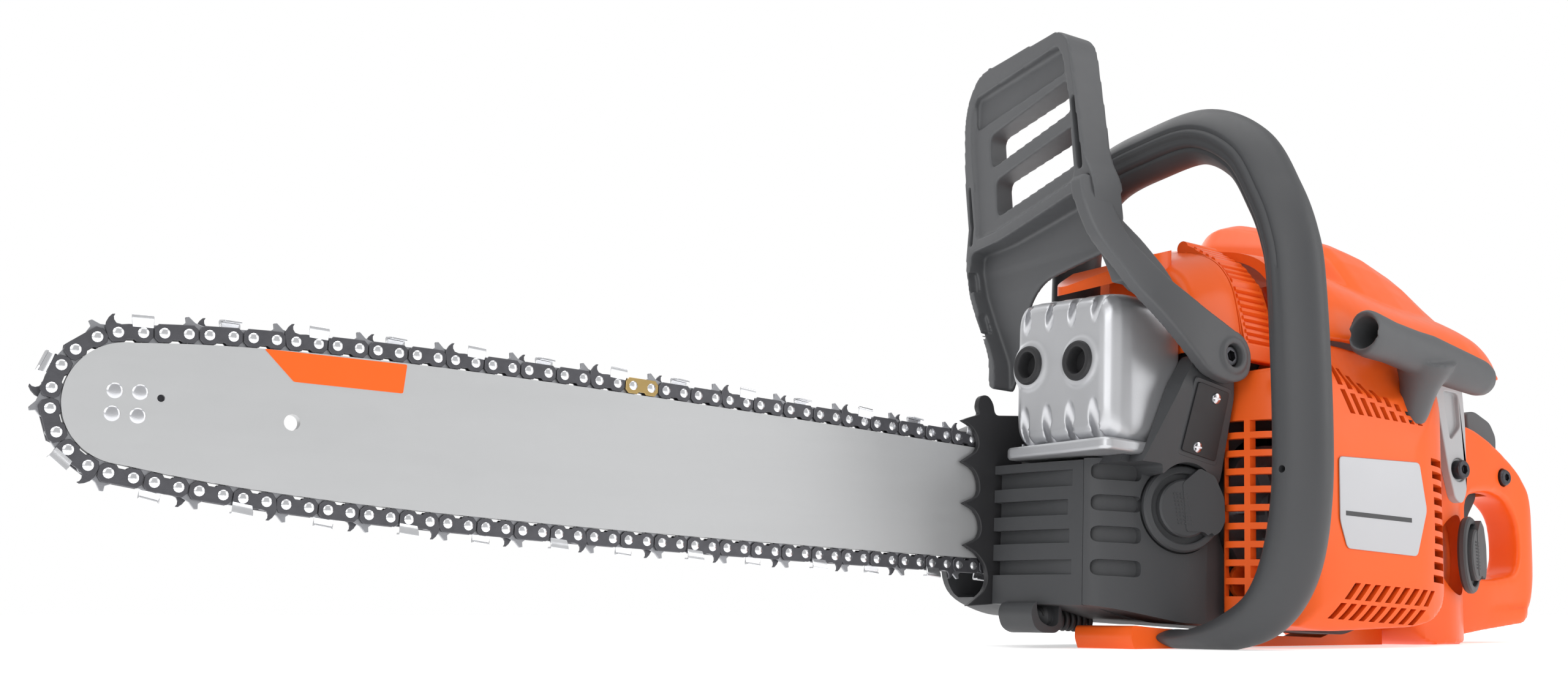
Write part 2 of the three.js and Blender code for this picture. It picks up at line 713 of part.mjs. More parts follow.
// Half section from the starter side's foot to the top line, as shares of its width and height.
const LID_FRONT = [[-1, 0], [-0.995, 0.14], [-0.965, 0.36], [-0.895, 0.61], [-0.73, 0.82],
  [-0.44, 0.94], [0, 1]];
const LID_REAR = [[-1, 0], [-0.97, 0.2], [-0.88, 0.4], [-0.72, 0.58], [-0.5, 0.77],
  [-0.25, 0.93], [0, 1]];
const LID_TOP_Y = -30;
// x, y of the foot, height of the foot, height of the top, share of the rear section's shape
const LID_STATIONS = [[-66, -95, 71.6, 117, 0], [-62, -95.5, 71.6, 124, 0], [-50, -96.5, 71.6, 130, 0],
  [-38, -97.5, 71.6, 134, 0], [-27, -101, 81, 137, 0], [5, -114, lidBase, 139, 0.25],
  [33, -118, lidBase, 140, 0.6], [80, -116, lidBase, 138, 1], [130, -113, lidBase, 134, 1],
  [156, -102, lidBase, 128, 1]];
const LID_FAR_Y = 20;
const lidRing = ([x, foot, low, high, share], by) => {
  const left = LID_FRONT.map(([u, t], i) => {
    const [ru, rt] = LID_REAR[i];
    const across = u + (ru - u) * share;
    const up = t + (rt - t) * share;
    return [x, LID_TOP_Y + (LID_TOP_Y - foot - by) * across, low - by + (high - low) * up];
  });
  return [...left, [x, LID_FAR_Y - 10 - by, high - 2 - by], [x, LID_FAR_Y - by, high - 16 - by],
    [x, LID_FAR_Y - by, low - by]];
};
// The lid steps back on the clutch side, where the front handle comes down beside it.
const lidHull = (by) =>
  loft(LID_STATIONS.map((station) => lidRing(station, by))).subtract(
    box(-90, -36 + by, -36 - by, 60, 0, 200),
  );
// x, height of the ridge, height of the shoulder on the starter side
const DOME_STATIONS = [[58, 146, 136], [64, 166, 149], [72, 178, 152.5], [84, 182, 152],
  [100, 180, 150], [122, 169, 143.5], [140, 154, 133], [150, 142, 124], [156, 128, 114]];
const dome = (by) =>
  loft(DOME_STATIONS.map(([x, ridge, shoulder], i) => {
    const at = x + (i === 0 ? by : 0) - (i === DOME_STATIONS.length - 1 ? by : 0);
    const rise = shoulder - lidBase;
    const back = ridge - shoulder;
    return [[-104 + by, lidBase], [-100 + by, lidBase + 0.2 * rise], [-84 + by, lidBase + 0.55 * rise],
      [-60 + by, shoulder - by], [-30, shoulder + 0.45 * back - by], [0, shoulder + 0.85 * back - by],
      [18, ridge - by], [31, ridge - 6 - by], [40 - by, lidBase + 0.66 * (ridge - lidBase)],
      [40 - by, lidBase]].map(([y, z]) => [at, y, z]);
  }));
const lidOuter = lidHull(0);
const lidInner = common([lidHull(WALL), box(-62.7, 152.7, -130, 40, 60.2, 150)]);
const domeOuter = dome(0);
const lip = plateXZ([[-91, 109], [-91, 112], [-64, 122], [-58, 113]], -74, -19);
const LATCH_X = [-36, -14];
const latchInner = [[-60.8, 131.2], [-76.6, 121.4], [-87, 109], [-92.2, 94], [-95.6, 80], [-96.4, 70.5]];
const latchRecess = plateYZ(
  [...latchInner.map(([y, z]) => [y + 0.5, z - 0.2]), [-140, 66], [-140, 140], [-64, 140]],
  -36.3,
  -13.7,
);
add(
  "cylinder_cover",
  cut(join([lidOuter, domeOuter, lip]), [
    lidInner,
    lidInner.translate([0, 0.01, -8]),
    dome(WALL).translate([0, 0, -1]),
    box(-70, -40, -72, -34, 50, 90),
    rodX(-58, 133.5, 3.8, -36.4, -13.6, 14),
    latchRecess,
    rodY(PIVOT[0], PIVOT[1], 10, -120, -78, 20),
  ]),
  ORANGE,
);
const latchOuter = [];
for (let i = 0; i + 1 < latchInner.length; i += 1) {
  const [y0, z0] = latchInner[i];
  const [y1, z1] = latchInner[i + 1];
  const length = Math.hypot(y1 - y0, z1 - z0);
  const [ny, nz] = [(z1 - z0) / length, -(y1 - y0) / length];
  for (let k = 0; k < 3; k += 1) {
    for (const [t, out] of [[0.1, 2.6], [0.4, 2.6], [0.5, 4], [0.9, 4]]) {
      const u = (k + t) / 3;
      latchOuter.push([y0 + (y1 - y0) * u + ny * out, z0 + (z1 - z0) * u + nz * out]);
    }
  }
}
add(
  "latch_left",
  join([
    plateYZ([...latchInner, ...latchOuter.reverse()], LATCH_X[0], LATCH_X[1]),
    rodX(-58, 133.5, 3.4, LATCH_X[0], LATCH_X[1], 12),
    plateYZ(
      [[-58, 136.5], [-59, 132], [-62, 130.4], [-66, 129], [-65, 132]],
      LATCH_X[0],
      LATCH_X[1],
    ),
  ]),
  ORANGE,
);
add(
  "latch_right",
  join([box(-13, 13, 0, 3.6, -34, 0), rodX(2, 0, 3.4, -13, 13, 14)]).translate([0, 22, 118]),
  ORANGE,
);
add(
  "latch_rear",
  join([box(0, 3.6, -13, 13, -40, 0), rodY(2, 0, 3.4, -13, 13, 14)]).translate([158.3, -42, 116]),
  ORANGE,
);

// ---------------------------------------------------------------- tank and rear handle
const groundBlock = toSolid(
  new THREE.BoxGeometry(1200, 600, 100).translate(0, 0, GROUND - 50).rotateY(rad(-TILT_DEG)),
);
const tankSide = rounded([[104, 60], [104, -48], [118, -57], [168, -53], [184, -38], [184, 30],
  [168, 52], [152, 62]], 7);
const tankPlan = rounded([[104, -84], [142, -84], [162, -74], [179, -56], [184, -46], [184, -22],
  [168, 2], [104, 8]], 7);
const handleOuter = rounded([[150, 60], [174, 66], [192, 70], [216, 62], [239, 51.5], [253, 39],
  [260, 26], [261.5, 5], [259, -12], [250, -32], [238, -39], [200, -45], [178, -49],
  [150, -52]], 6);
const handleLoop = rounded([[190, 30], [209, 33.5], [226, 30.5], [235.5, 20], [236, 0],
  [232, -12], [208, -17], [190, -16]], 6);
const handlePlan = rounded([[140, -59], [206, -58], [236, -55.5], [252, -54.5], [261, -48],
  [261, -39], [252, -32.5], [236, -31.5], [206, -28], [140, -27]], 5);
// the plate under the rear handle, wider on the clutch side to guard the hand
const bootPlate = common([
  plateXZ([[160, -50], [160, -38], [240, -31], [251, -29], [250, -33], [238, -39.4], [200, -45.4],
    [178, -49.4]], -60, -6),
  plateXY(rounded([[160, -59], [244, -58], [254, -48], [254, -20], [240, -8], [160, -6]], 5), -60, 0),
]);
const strip = plateXZ([[-70, -70], [-70, -58], [-20, -57.6], [60, -56], [86, -46.5], [108, -46.5],
  [108, -62]], -62, -36);
const foot = plateXZ(rounded([[-92, -60], [-90, -70], [-40, -70], [-40, -57.8], [-70, -57.8],
  [-86, -56]], 2), -76, -34);
add(
  "fuel_tank_handle",
  cut(
    join([
      common([plateXZ(tankSide, -84, 8), plateXY(tankPlan, -60, 64)]),
      common([plateXZ(handleOuter, -62, -22), plateXY(handlePlan, -60, 80)]),
      bootPlate,
      strip,
      foot,
      box(126, 162, -70, -12, -60, -50),
      box(104.2, 112, -74, -20, 40, 54),
    ]),
    [
      plateXZ(handleLoop, -70, -10),
      common([
        plateXZ(rounded([[108, 56], [108, -44], [120, -52], [166, -48], [180, -36], [180, 26],
          [166, 46], [150, 57]], 5), -80, 4),
        plateXY(rounded([[108, -80], [140, -80], [158, -71], [175, -54], [180, -45], [180, -24],
          [166, -2], [108, 4]], 6), -60, 64),
      ]).subtract(box(186, 300, -100, 100, -100, 100)),
      facing(rodY(0, 0, 21, -14, 12, 28), FUEL_CAP, FUEL_CAP_TURN),
      box(186, 219, -50, -36, 12, 46),
      plateXZ([[201, 61], [201, 90], [234, 90], [234, 49]], -50, -36),
      groundBlock,
      rodY(225, 43, 5, -80, -54.6, 14),
    ],
  ),
  ORANGE,
);
add(
  "throttle_trigger",
  plateXZ(rounded([[191, 40], [191, 18], [199, 0], [205, 2], [204, 18], [213, 30], [213, 38],
    [202, 43]], 3), -48, -38),
  BLACK,
);
add(
  "throttle_lockout",
  plateXZ(rounded([[204.5, 68], [203.5, 79.5], [212, 81], [226, 76], [231.5, 68], [231, 57], [220, 61]],
    2), -49, -37),
  GREY,
);
add("handle_screw", rodY(225, 43, 4.6, -60.4, -55, 14), DARK_STEEL);
add(
  "choke_control",
  join([box(158, 172, -12, -4, 66, 80), rodZ(165, -8, 3, 60.5, 70, 12)]),
  BLACK,
);

// ---------------------------------------------------------------- filler caps
const capBody = (radius) => join([
  rodY(0, 0, radius - 0.6, -10, 2, 32),
  common([rodY(0, 0, radius - 4, 1, 5, 28), box(-30, 30, 0, 6, -6, 6)]),
]).scale([1, -1, 1]);
add("oil_cap", facing(capBody(21), OIL_CAP, OIL_CAP_TURN), DARK);
add("fuel_cap", facing(capBody(21), FUEL_CAP, FUEL_CAP_TURN), DARK);

// ---------------------------------------------------------------- front handle
// x, y, z of the tube's centre and its half width across the path
const HANDLE_PATH = [
  [HANDLE_X, -76.4, -62.3, 4.4], [HANDLE_X, -90, -62, 4.8], [HANDLE_X, -110, -58.5, 8],
  [HANDLE_X, -130, -49, 11], [HANDLE_X, -143, -30, 13.2], [HANDLE_X, -149.5, 0, 13.2],
  [HANDLE_X, -150.4, 40, 13.2], [HANDLE_X, -147.8, 98, 13], [HANDLE_X, -144, 120, 13],
  [HANDLE_X, -136, 140, 13], [HANDLE_X, -121, 164, 13.2], [HANDLE_X, -94, 179, 13],
  [HANDLE_X, -58, 178, 13], [HANDLE_X, -31, 173, 13], [HANDLE_X, -14, 161, 12],
  [HANDLE_X, -5, 142, 11.5], [HANDLE_X, -3, 118, 11.5], [HANDLE_X, -3, 58, 11.5],
];
const SIDES = 12;
const handleRings = HANDLE_PATH.map(([x, y, z, half], i) => {
  const [, y0, z0] = HANDLE_PATH[Math.max(i - 1, 0)];
  const [, y1, z1] = HANDLE_PATH[Math.min(i + 1, HANDLE_PATH.length - 1)];
  const along = new THREE.Vector2(y1 - y0, z1 - z0).normalize();
  const ring = [];
  for (let k = 0; k < SIDES; k += 1) {
    const a = (2 * Math.PI * (k + 0.5)) / SIDES;
    const across = half * Math.sin(a);
    ring.push([x + HANDLE_HALF[0] * Math.cos(a), y - along.y * across, z + along.x * across]);
  }
  return ring;
});
add(
  "front_handle",
  loft(handleRings).subtract(groundBlock),
  GREY,
);

// ---------------------------------------------------------------- hand guard
const guardSlope = (z) => {
  if (z > 150) return -108 - (z - 150) * 0.1;
  if (z > 122) return -112 + (z - 122) * 0.14;
  return -112 + (122 - z) * 0.3;
};
const guardOutline = rounded([[-70, 224], [12, 226], [30, 210], [36, 180], [37, 150], [36, 127],
  [30, 102], [22, 80], [20, 60], [11, 60], [7, 78], [3, 96], [-2, 108], [-20, 122], [-84, 122],
  [-84, 150], [-76, 162], [-73, 190]], 5, 3);
const guardWindows = [
  rounded([[2, 168], [2, 148], [-64, 158], [-64, 176]], 4),
  rounded([[4, 194], [4, 177], [-62, 184], [-62, 198]], 4),
];
const guardPlate = (thick, lift) => {
  const front = cut(
    plateYZ(guardOutline, -140, -60),
    guardWindows.map((window) => plateYZ(window, -150, -50)),
  );
  const sheet = [];
  for (let z = 50; z <= 240; z += 10) sheet.push([guardSlope(z) + lift, z]);
  const back = [...sheet].reverse().map(([x, z]) => [x + thick, z]);
  return common([front, plateXZ([...sheet, ...back], -130, 60)]);
};
const guardArm = plateXZ(
  rounded([[-40, 62], [-39, 75], [-49, 82], [-66, 90], [-86, 104], [-97, 122], [-97, 146],
    [-113, 146], [-116, 116], [-104, 92], [-82, 76], [-62, 60], [-50, 57.5]], 4, 2),
  -106,
  -98.4,
);
const guardBridge = plateYZ(rounded([[-106, 146], [-106, 118], [-70, 118], [-70, 152]], 6), -113, -98);
const guardSkirt = plateXZ(
  rounded([[-110, 146], [-112, 128], [-84, 128], [-72, 132], [-80, 140]], 3),
  -96,
  -36,
);
add(
  "front_hand_guard",
  cut(join([guardPlate(9, 0), guardArm, guardBridge, guardSkirt]), [
    rodY(PIVOT[0], PIVOT[1], 5.3, -120, -90, 16),
  ]),
  GREY,
);
add(
  "guard_pivot_screw",
  join([
    rodY(PIVOT[0], PIVOT[1], 3, -107, -84, 12),
    rodY(PIVOT[0], PIVOT[1], 4.9, -107.5, -98.6, 16),
  ]).subtract(rodY(PIVOT[0], PIVOT[1], 2.2, -110, -104, 6)),
  DARK_STEEL,
);

// ---------------------------------------------------------------- starter grip and rear bracket
const gripBar = rodBetween([7, -133, 86], [114, -131, 79], 10.5, 20, 9.5);
add(
  "starter_grip",
  cut(join([
    gripBar,
    rodBetween([59, -132, 82], [60, -121, 58], 8.5, 14, 5.8),
  ]), [rodBetween([0, -133.1, 86.4], [34, -132.5, 84.2], 7.6, 16)]),
  GREY,
);
add(
  "rear_bracket",
  cut(plateXZ(rounded([[112, 80], [128, 80], [142, 24], [140, 16], [128, 16], [126, 24]], 4), -96, -90), [
    rodY(133, 32, 3.4, -100, -80, 12),
    plateXZ(rounded([[119, 72], [124, 72], [132, 44], [127, 44]], 2), -99, -93),
  ]),
  LIGHT_GREY,
);
add(
  "bracket_bolt",
  join([rodY(133, 32, 3, -97, -84.6, 12), rodY(133, 32, 5, -101, -96.3, 14)]),
  DARK_STEEL,
);

// ---------------------------------------------------------------- isolator springs
function coil(from, to, radius, wire, turns) {
  const steps = turns * 8;
  const rings = [];
  for (let i = 0; i <= steps; i += 1) {
    const a = (2 * Math.PI * i) / 8;
    const x = from[0] + ((to[0] - from[0]) * i) / steps;
    const ring = [];
    for (let k = 0; k < 5; k += 1) {
      const b = (2 * Math.PI * k) / 5;
      const r = radius + wire * Math.cos(b);
      ring.push([x + wire * Math.sin(b), from[1] + r * Math.cos(a), from[2] + r * Math.sin(a)]);
    }
    rings.push(ring);
  }
  return loft(rings);
}
add("av_spring_front", coil([-116, -28, -61], [-94.5, -28, -61], 5, 1.4, 4), BLACK);

// ---------------------------------------------------------------- rating plate
const plateTurn = Math.atan2(7, 32);
const onButtress = (solid) => solid
  .rotate([THREE.MathUtils.radToDeg(plateTurn), 0, 0])
  .translate([-59, -93.6, 38]);
add("rating_plate", onButtress(plateXZ([[-12, -14], [11, -17], [13, 16], [-8, 19]], -1.4, -0.5)), BLACK);

// ---------------------------------------------------------------- assembly
const root = new THREE.Group();
root.name = "chainsaw";
for (const [name, solid, material] of pieces) {
  const { numProp, vertProperties, triVerts } = solid.getMesh();
  const positions = [];
  for (let i = 0; i < vertProperties.length; i += numProp) {
    positions.push(vertProperties[i], vertProperties[i + 1], vertProperties[i + 2]);
  }
  const geometry = new THREE.BufferGeometry();
  geometry.setAttribute("position", new THREE.Float32BufferAttribute(positions, 3));
  geometry.setIndex([...triVerts]);
  geometry.rotateY(rad(TILT_DEG)).translate(0, 0, -GROUND);
  geometry.computeVertexNormals();
  const mesh = new THREE.Mesh(geometry, material);
  mesh.name = name;
  root.add(mesh);
}
// The origin sits at the middle of the saw's footprint, on the ground.
const bounds = new THREE.Box3().setFromObject(root);
const middle = bounds.getCenter(new THREE.Vector3());
for (const mesh of root.children) mesh.geometry.translate(-middle.x, -middle.y, -bounds.min.z);

export default root;
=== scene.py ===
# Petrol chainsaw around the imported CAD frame: studio, materials and every outer piece in detail.
# Pieces are drawn in millimetres in the saw's own frame (origin on the crank axis in the plane
# of the bar, X to the rear, Y to the clutch side, Z up) and then set into the frame's metres.
import math

import bmesh
import bpy
from mathutils import Matrix, Vector


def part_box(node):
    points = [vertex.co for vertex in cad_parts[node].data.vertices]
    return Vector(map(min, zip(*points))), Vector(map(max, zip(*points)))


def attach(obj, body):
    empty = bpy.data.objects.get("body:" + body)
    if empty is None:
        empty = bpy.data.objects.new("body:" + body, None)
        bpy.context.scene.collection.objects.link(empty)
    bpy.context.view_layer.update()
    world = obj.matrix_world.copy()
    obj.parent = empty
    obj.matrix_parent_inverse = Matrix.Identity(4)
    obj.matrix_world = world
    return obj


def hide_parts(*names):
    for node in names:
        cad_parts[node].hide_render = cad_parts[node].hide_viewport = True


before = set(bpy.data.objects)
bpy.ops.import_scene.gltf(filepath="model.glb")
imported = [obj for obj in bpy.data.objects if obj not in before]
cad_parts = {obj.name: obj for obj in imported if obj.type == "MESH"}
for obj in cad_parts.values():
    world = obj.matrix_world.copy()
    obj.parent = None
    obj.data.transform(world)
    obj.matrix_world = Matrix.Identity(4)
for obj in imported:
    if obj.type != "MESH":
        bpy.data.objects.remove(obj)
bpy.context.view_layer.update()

# ---------------------------------------------------------------- places taken from the frame
MM = 0.001
TILT = math.radians(3.2)  # how far the bar's tip is lifted


def middle(node):
    low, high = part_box(node)
    return (Vector(low) + Vector(high)) / 2


DRUM, NOSE_WHEEL = middle("clutch_drum"), middle("nose_sprocket")
CRANK = Vector((DRUM.x, NOSE_WHEEL.y, DRUM.z))
SAW = Matrix.Translation(CRANK) @ Matrix.Rotation(TILT, 4, "Y") @ Matrix.Scale(MM, 4)
GROUND = -CRANK.z / MM

# ---------------------------------------------------------------- camera, light and floor
scene = bpy.context.scene


CAMERA_PLACE = (-0.502172, -0.595756, 0.016116)
CAMERA_VIEW = (0.53535, 0.82987, 0.15721)
LENS_MM, SENSOR_MM = 38.57, 36.0


def make_camera():
    data = bpy.data.cameras.new("camera")
    data.lens, data.sensor_width = LENS_MM, SENSOR_MM
    data.clip_start, data.clip_end = 0.01, 50
    camera = bpy.data.objects.new("camera", data)
    view = Vector(CAMERA_VIEW).normalized()
    side = view.cross(Vector((0, 0, 1))).normalized()
    camera.matrix_world = Matrix.Translation(CAMERA_PLACE) @ Matrix(
        (side, side.cross(view), -view)).transposed().to_4x4()
    scene.collection.objects.link(camera)
    scene.camera = camera


def soft_light(name, place, target, size, watts):
    data = bpy.data.lights.new(name, "AREA")
    data.shape, data.size, data.size_y, data.energy = "RECTANGLE", size[0], size[1], watts
    lamp = bpy.data.objects.new(name, data)
    lamp.location = place
    lamp.rotation_euler = (Vector(target) - Vector(place)).to_track_quat("-Z", "Y").to_euler()
    scene.collection.objects.link(lamp)


def make_studio():
    soft_light("light_top", (0.0, 0.0, 1.5), (0.05, 0, 0.1), (2.2, 1.4), 15)
    soft_light("light_key", (-1.3, -1.0, 0.9), (0.1, 0, 0.12), (1.2, 1.0), 9)
    soft_light("light_right", (1.3, -1.2, 0.7), (0.2, 0, 0.12), (0.8, 1.2), 7)
    soft_light("light_back", (0.6, 1.5, 1.0), (0.1, 0, 0.15), (1.6, 0.8), 7)
    world = bpy.data.worlds.new("studio")
    scene.world = world
    world.use_nodes = True
    nodes, link = world.node_tree.nodes, world.node_tree.links.new
    nodes["Background"].inputs["Color"].default_value = (1, 1, 1, 1)
    seen = nodes.new("ShaderNodeMapRange")  # the backdrop is white, its light on the saw is softer
    seen.inputs["To Min"].default_value, seen.inputs["To Max"].default_value = 0.6, 1.0
    link(nodes.new("ShaderNodeLightPath").outputs["Is Camera Ray"], seen.inputs["Value"])
    link(seen.outputs["Result"], nodes["Background"].inputs["Strength"])
    scene.view_settings.view_transform = "Standard"
    mesh = bpy.data.meshes.new("floor")
    far = 14
    mesh.from_pydata([(-far, -far, 0), (far, -far, 0), (far, far, 0), (-far, far, 0)],
                     [], [(0, 1, 2, 3)])
    floor = bpy.data.objects.new("floor", mesh)
    scene.collection.objects.link(floor)
    paper = surface("floor_paper", (0.92, 0.92, 0.92), 0.75, tint=0.01, grain=400)
    shader = paper.node_tree.nodes["Principled BSDF"]
    shader.inputs["Emission Color"].default_value = (1, 1, 1, 1)
    shader.inputs["Emission Strength"].default_value = 0.5
    mesh.materials.append(paper)


# ---------------------------------------------------------------- materials
def linear(*channels):
    return tuple((c / 255 / 12.92) if c <= 10 else ((c / 255 + 0.055) / 1.055) ** 2.4
                 for c in channels)


def surface(name, color, roughness, metallic=0.0, tint=0.05, cloud=18, grain=2600, bump=0.05,
            spread=0.06, coat=0.0, stretch=(1, 1, 1), shine=0.5):
    """Plastic or metal with cloudy colour, uneven roughness and a fine grain in its surface."""
    material = bpy.data.materials.new(name)
    material.use_nodes = True
    nodes, link = material.node_tree.nodes, material.node_tree.links.new
    shader = nodes["Principled BSDF"]
    shader.inputs["Metallic"].default_value = metallic
    shader.inputs["Coat Weight"].default_value = coat
    shader.inputs["Specular IOR Level"].default_value = shine
    shader.inputs["Coat Roughness"].default_value = 0.12
    place = nodes.new("ShaderNodeTexCoord")
    stretched = nodes.new("ShaderNodeMapping")
    stretched.inputs["Scale"].default_value = stretch
    link(place.outputs["Object"], stretched.inputs["Vector"])

    def noise(scale, detail):
        node = nodes.new("ShaderNodeTexNoise")
        node.inputs["Scale"].default_value = scale
        node.inputs["Detail"].default_value = detail
        link(stretched.outputs["Vector"], node.inputs["Vector"])
        return node.outputs["Fac"]

    mix = nodes.new("ShaderNodeMix")
    mix.data_type = "RGBA"
    mix.inputs[6].default_value = (*[c * (1 - tint) for c in color], 1)
    mix.inputs[7].default_value = (*[min(1, c * (1 + tint)) for c in color], 1)
    link(noise(cloud, 3), mix.inputs[0])
    link(mix.outputs[2], shader.inputs["Base Color"])
    rough = nodes.new("ShaderNodeMapRange")
    rough.inputs["To Min"].default_value = max(0.02, roughness - spread)
    rough.inputs["To Max"].default_value = min(1, roughness + spread)
    link(noise(grain / 20, 4), rough.inputs["Value"])
    link(rough.outputs["Result"], shader.inputs["Roughness"])
    if bump:
        relief = nodes.new("ShaderNodeBump")
        relief.inputs["Strength"].default_value = bump
        relief.inputs["Distance"].default_value = 0.0003
        link(noise(grain, 2), relief.inputs["Height"])
        link(relief.outputs["Normal"], shader.inputs["Normal"])
    return material


ORANGE = surface("orange_plastic", linear(234, 94, 30), 0.34, tint=0.03, bump=0.04, coat=0.06,
                 shine=0.22)
GREY = surface("grey_plastic", linear(80, 81, 83), 0.5, tint=0.05, grain=3800, bump=0.16, shine=0.4)
HANDLE_GREY = surface("handle_grey", linear(62, 63, 65), 0.48, tint=0.05, grain=3800, bump=0.14,
                      shine=0.4)
DARK = surface("dark_housing", linear(60, 61, 63), 0.5, tint=0.06, grain=3200, bump=0.12, shine=0.4)
BLACK = surface("black_plastic", linear(34, 34, 36), 0.55, grain=3200, bump=0.12)
PALE = surface("light_grey_plastic", linear(168, 170, 172), 0.5)
BAR_STEEL = surface("bar_steel", linear(180, 181, 182), 0.42, 0.55, tint=0.03, cloud=9, grain=1400,
                    bump=0.06, stretch=(1, 1, 8))
DARK_STEEL = surface("dark_steel", linear(62, 62, 66), 0.34, 0.8, tint=0.12, cloud=120)
STEEL = surface("bright_steel", linear(205, 206, 210), 0.25, 1.0, tint=0.06, cloud=150)
BLACK_STEEL = surface("black_steel", linear(44, 44, 46), 0.5, 0.3, tint=0.1, cloud=70, bump=0.15)
ALLOY = surface("cast_alloy", linear(168, 170, 174), 0.48, 0.9, tint=0.08, cloud=60, grain=1500,
                bump=0.25)
RUBBER = surface("black_rubber", linear(30, 30, 31), 0.75, grain=2000, bump=0.2)
CERAMIC = surface("ceramic_white", linear(238, 237, 232), 0.18, tint=0.02, coat=0.5)
LABEL = surface("label_white", linear(178, 179, 182), 0.35, 0.25, tint=0.015, grain=1200, bump=0.02)
PLATE = surface("black_plate", linear(30, 30, 32), 0.4, 0.3, tint=0.08)
CHAIN_STEEL = surface("chain_steel", linear(84, 84, 88), 0.42, 0.75, tint=0.2, cloud=260, bump=0.2)
LINK_STEEL = surface("drive_link_steel", linear(150, 151, 155), 0.35, 0.9, tint=0.12, cloud=200)
CHROME = surface("chromed_steel", linear(226, 227, 230), 0.18, 0.95, tint=0.08, cloud=180,
                 bump=0.02)
BRASS = surface("joining_link", linear(176, 150, 98), 0.32, 0.9, tint=0.08, cloud=120)
MUFFLER = surface("stamped_steel", linear(196, 197, 200), 0.4, 0.8, tint=0.1, cloud=26, grain=900,
                  bump=0.08, spread=0.1)

CAD_FINISH = {
    ORANGE: "starter_cover cylinder_cover latch_left latch_right latch_rear fuel_tank_handle",
    HANDLE_GREY: "front_handle",
    GREY: "front_hand_guard starter_grip throttle_lockout",
    DARK: "crankcase_right crankcase_left clutch_cover oil_cap fuel_cap",
    BLACK: "starter_pulley ignition_coil throttle_trigger choke_control av_spring_front",
    PALE: "air_filter rear_bracket",
    BAR_STEEL: "guide_bar",
    DARK_STEEL: "nose_sprocket saw_chain clutch_drum guard_pivot_screw handle_screw bracket_bolt "
                "cover_screw_top cover_screw_bottom exhaust_gasket",
    STEEL: "connecting_rod crank_half_starter crank_half_clutch recoil_spring clutch_hub "
           "brake_band bar_stud_front bar_stud_rear",
    BLACK_STEEL: "spike_bumper",
    ALLOY: "cylinder piston flywheel carburetor oil_pump muffler",
    RUBBER: "intake_boot",
    CERAMIC: "spark_plug",
    LABEL: "label_plate",
    PLATE: "rating_plate",
}


def dress_cad():
    for material, names in CAD_FINISH.items():
        for name in names.split():
            node = bpy.data.objects[name]
            node.data.materials.clear()
            node.data.materials.append(material)


# ---------------------------------------------------------------- drawing in the saw's millimetres
def new_object(verts, faces, name="part"):
    mesh = bpy.data.meshes.new(name)
    mesh.from_pydata([tuple(v) for v in verts], [], faces)
    mesh.update()
    obj = bpy.data.objects.new(name, mesh)
    scene.collection.objects.link(obj)
    work = bmesh.new()
    work.from_mesh(mesh)
    bmesh.ops.recalc_face_normals(work, faces=work.faces)
    work.to_mesh(mesh)
    work.free()
    return obj


def rounded(points, radius, steps=4):
    """A polygon with its corners eased; each point is (x, y) or (x, y, its own radius)."""
    out = []
    for i, point in enumerate(points):
        corner = Vector(point[:2])
        reach = point[2] if len(point) > 2 else radius
        before = Vector(points[i - 1][:2]) - corner
        after = Vector(points[(i + 1) % len(points)][:2]) - corner
        reach = min(reach, before.length / 2.1, after.length / 2.1)
        if reach < 0.05:
            out.append(tuple(corner))
            continue
        start, end = corner + before.normalized() * reach, corner + after.normalized() * reach
        for k in range(steps + 1):
            t = k / steps
            out.append(tuple((1 - t) ** 2 * start + 2 * t * (1 - t) * corner + t * t * end))
    return out


AXES = {"xz": (0, 2, 1), "yz": (1, 2, 0), "xy": (0, 1, 2)}


def between(n):
    """Faces of two outlines of n corners and of the wall that joins them."""
    return [list(range(n)), list(range(n, 2 * n))] + [
        (i, (i + 1) % n, n + (i + 1) % n, n + i) for i in range(n)]


def angles(count):
    return [2 * math.pi * k / count for k in range(count)]


def prism(points, low, high, plane="xz"):
    a, b, c = AXES[plane]
    verts = []
    for level in (low, high):
        for point in points:
            vert = [0, 0, 0]
            vert[a], vert[b], vert[c] = point[0], point[1], level
            verts.append(vert)
    return new_object(verts, between(len(points)))


def block(x0, x1, y0, y1, z0, z1):
    return prism([(x0, z0), (x1, z0), (x1, z1), (x0, z1)], y0, y1)


def skin(rings, loop=False, caps=True):
    n = len(rings[0])
    verts = [v for ring in rings for v in ring]
    pairs = [(r, r + 1) for r in range(len(rings) - 1)] + ([(len(rings) - 1, 0)] if loop else [])
    faces = [(a * n + k, a * n + (k + 1) % n, b * n + (k + 1) % n, b * n + k)
             for a, b in pairs for k in range(n)]
    if caps and not loop:
        faces += [list(range(n)), list(range((len(rings) - 1) * n, len(rings) * n))]
    return new_object(verts, faces)


def about(start, end):
    """Two directions square to the line from start to end."""
    along = (Vector(end) - Vector(start)).normalized()
    side = along.orthogonal().normalized()
    return along, side, along.cross(side)


def turned(start, end, profile, sides=48):
    """Solid of revolution on the axis from start towards end; profile is (radius, distance)."""
    along, side, other = about(start, end)
    rings = []
    for radius, distance in profile:
        rings.append([Vector(start) + along * distance
                      + (side * math.cos(a) + other * math.sin(a)) * max(radius, 0.01)
                      for a in angles(sides)])
    return skin(rings)


def rod(start, end, radius, sides=32):
    length = (Vector(end) - Vector(start)).length
    return turned(start, end, [(radius, 0), (radius, length)], sides)


def rod_y(x, z, y0, y1, radius, sides=32):
    return rod((x, y0, z), (x, y1, z), radius, sides)


def turn_and_move(obj, place, degrees=0, axis="Z"):
    obj.data.transform(Matrix.Translation(place)
                       @ Matrix.Rotation(math.radians(degrees), 4, axis))


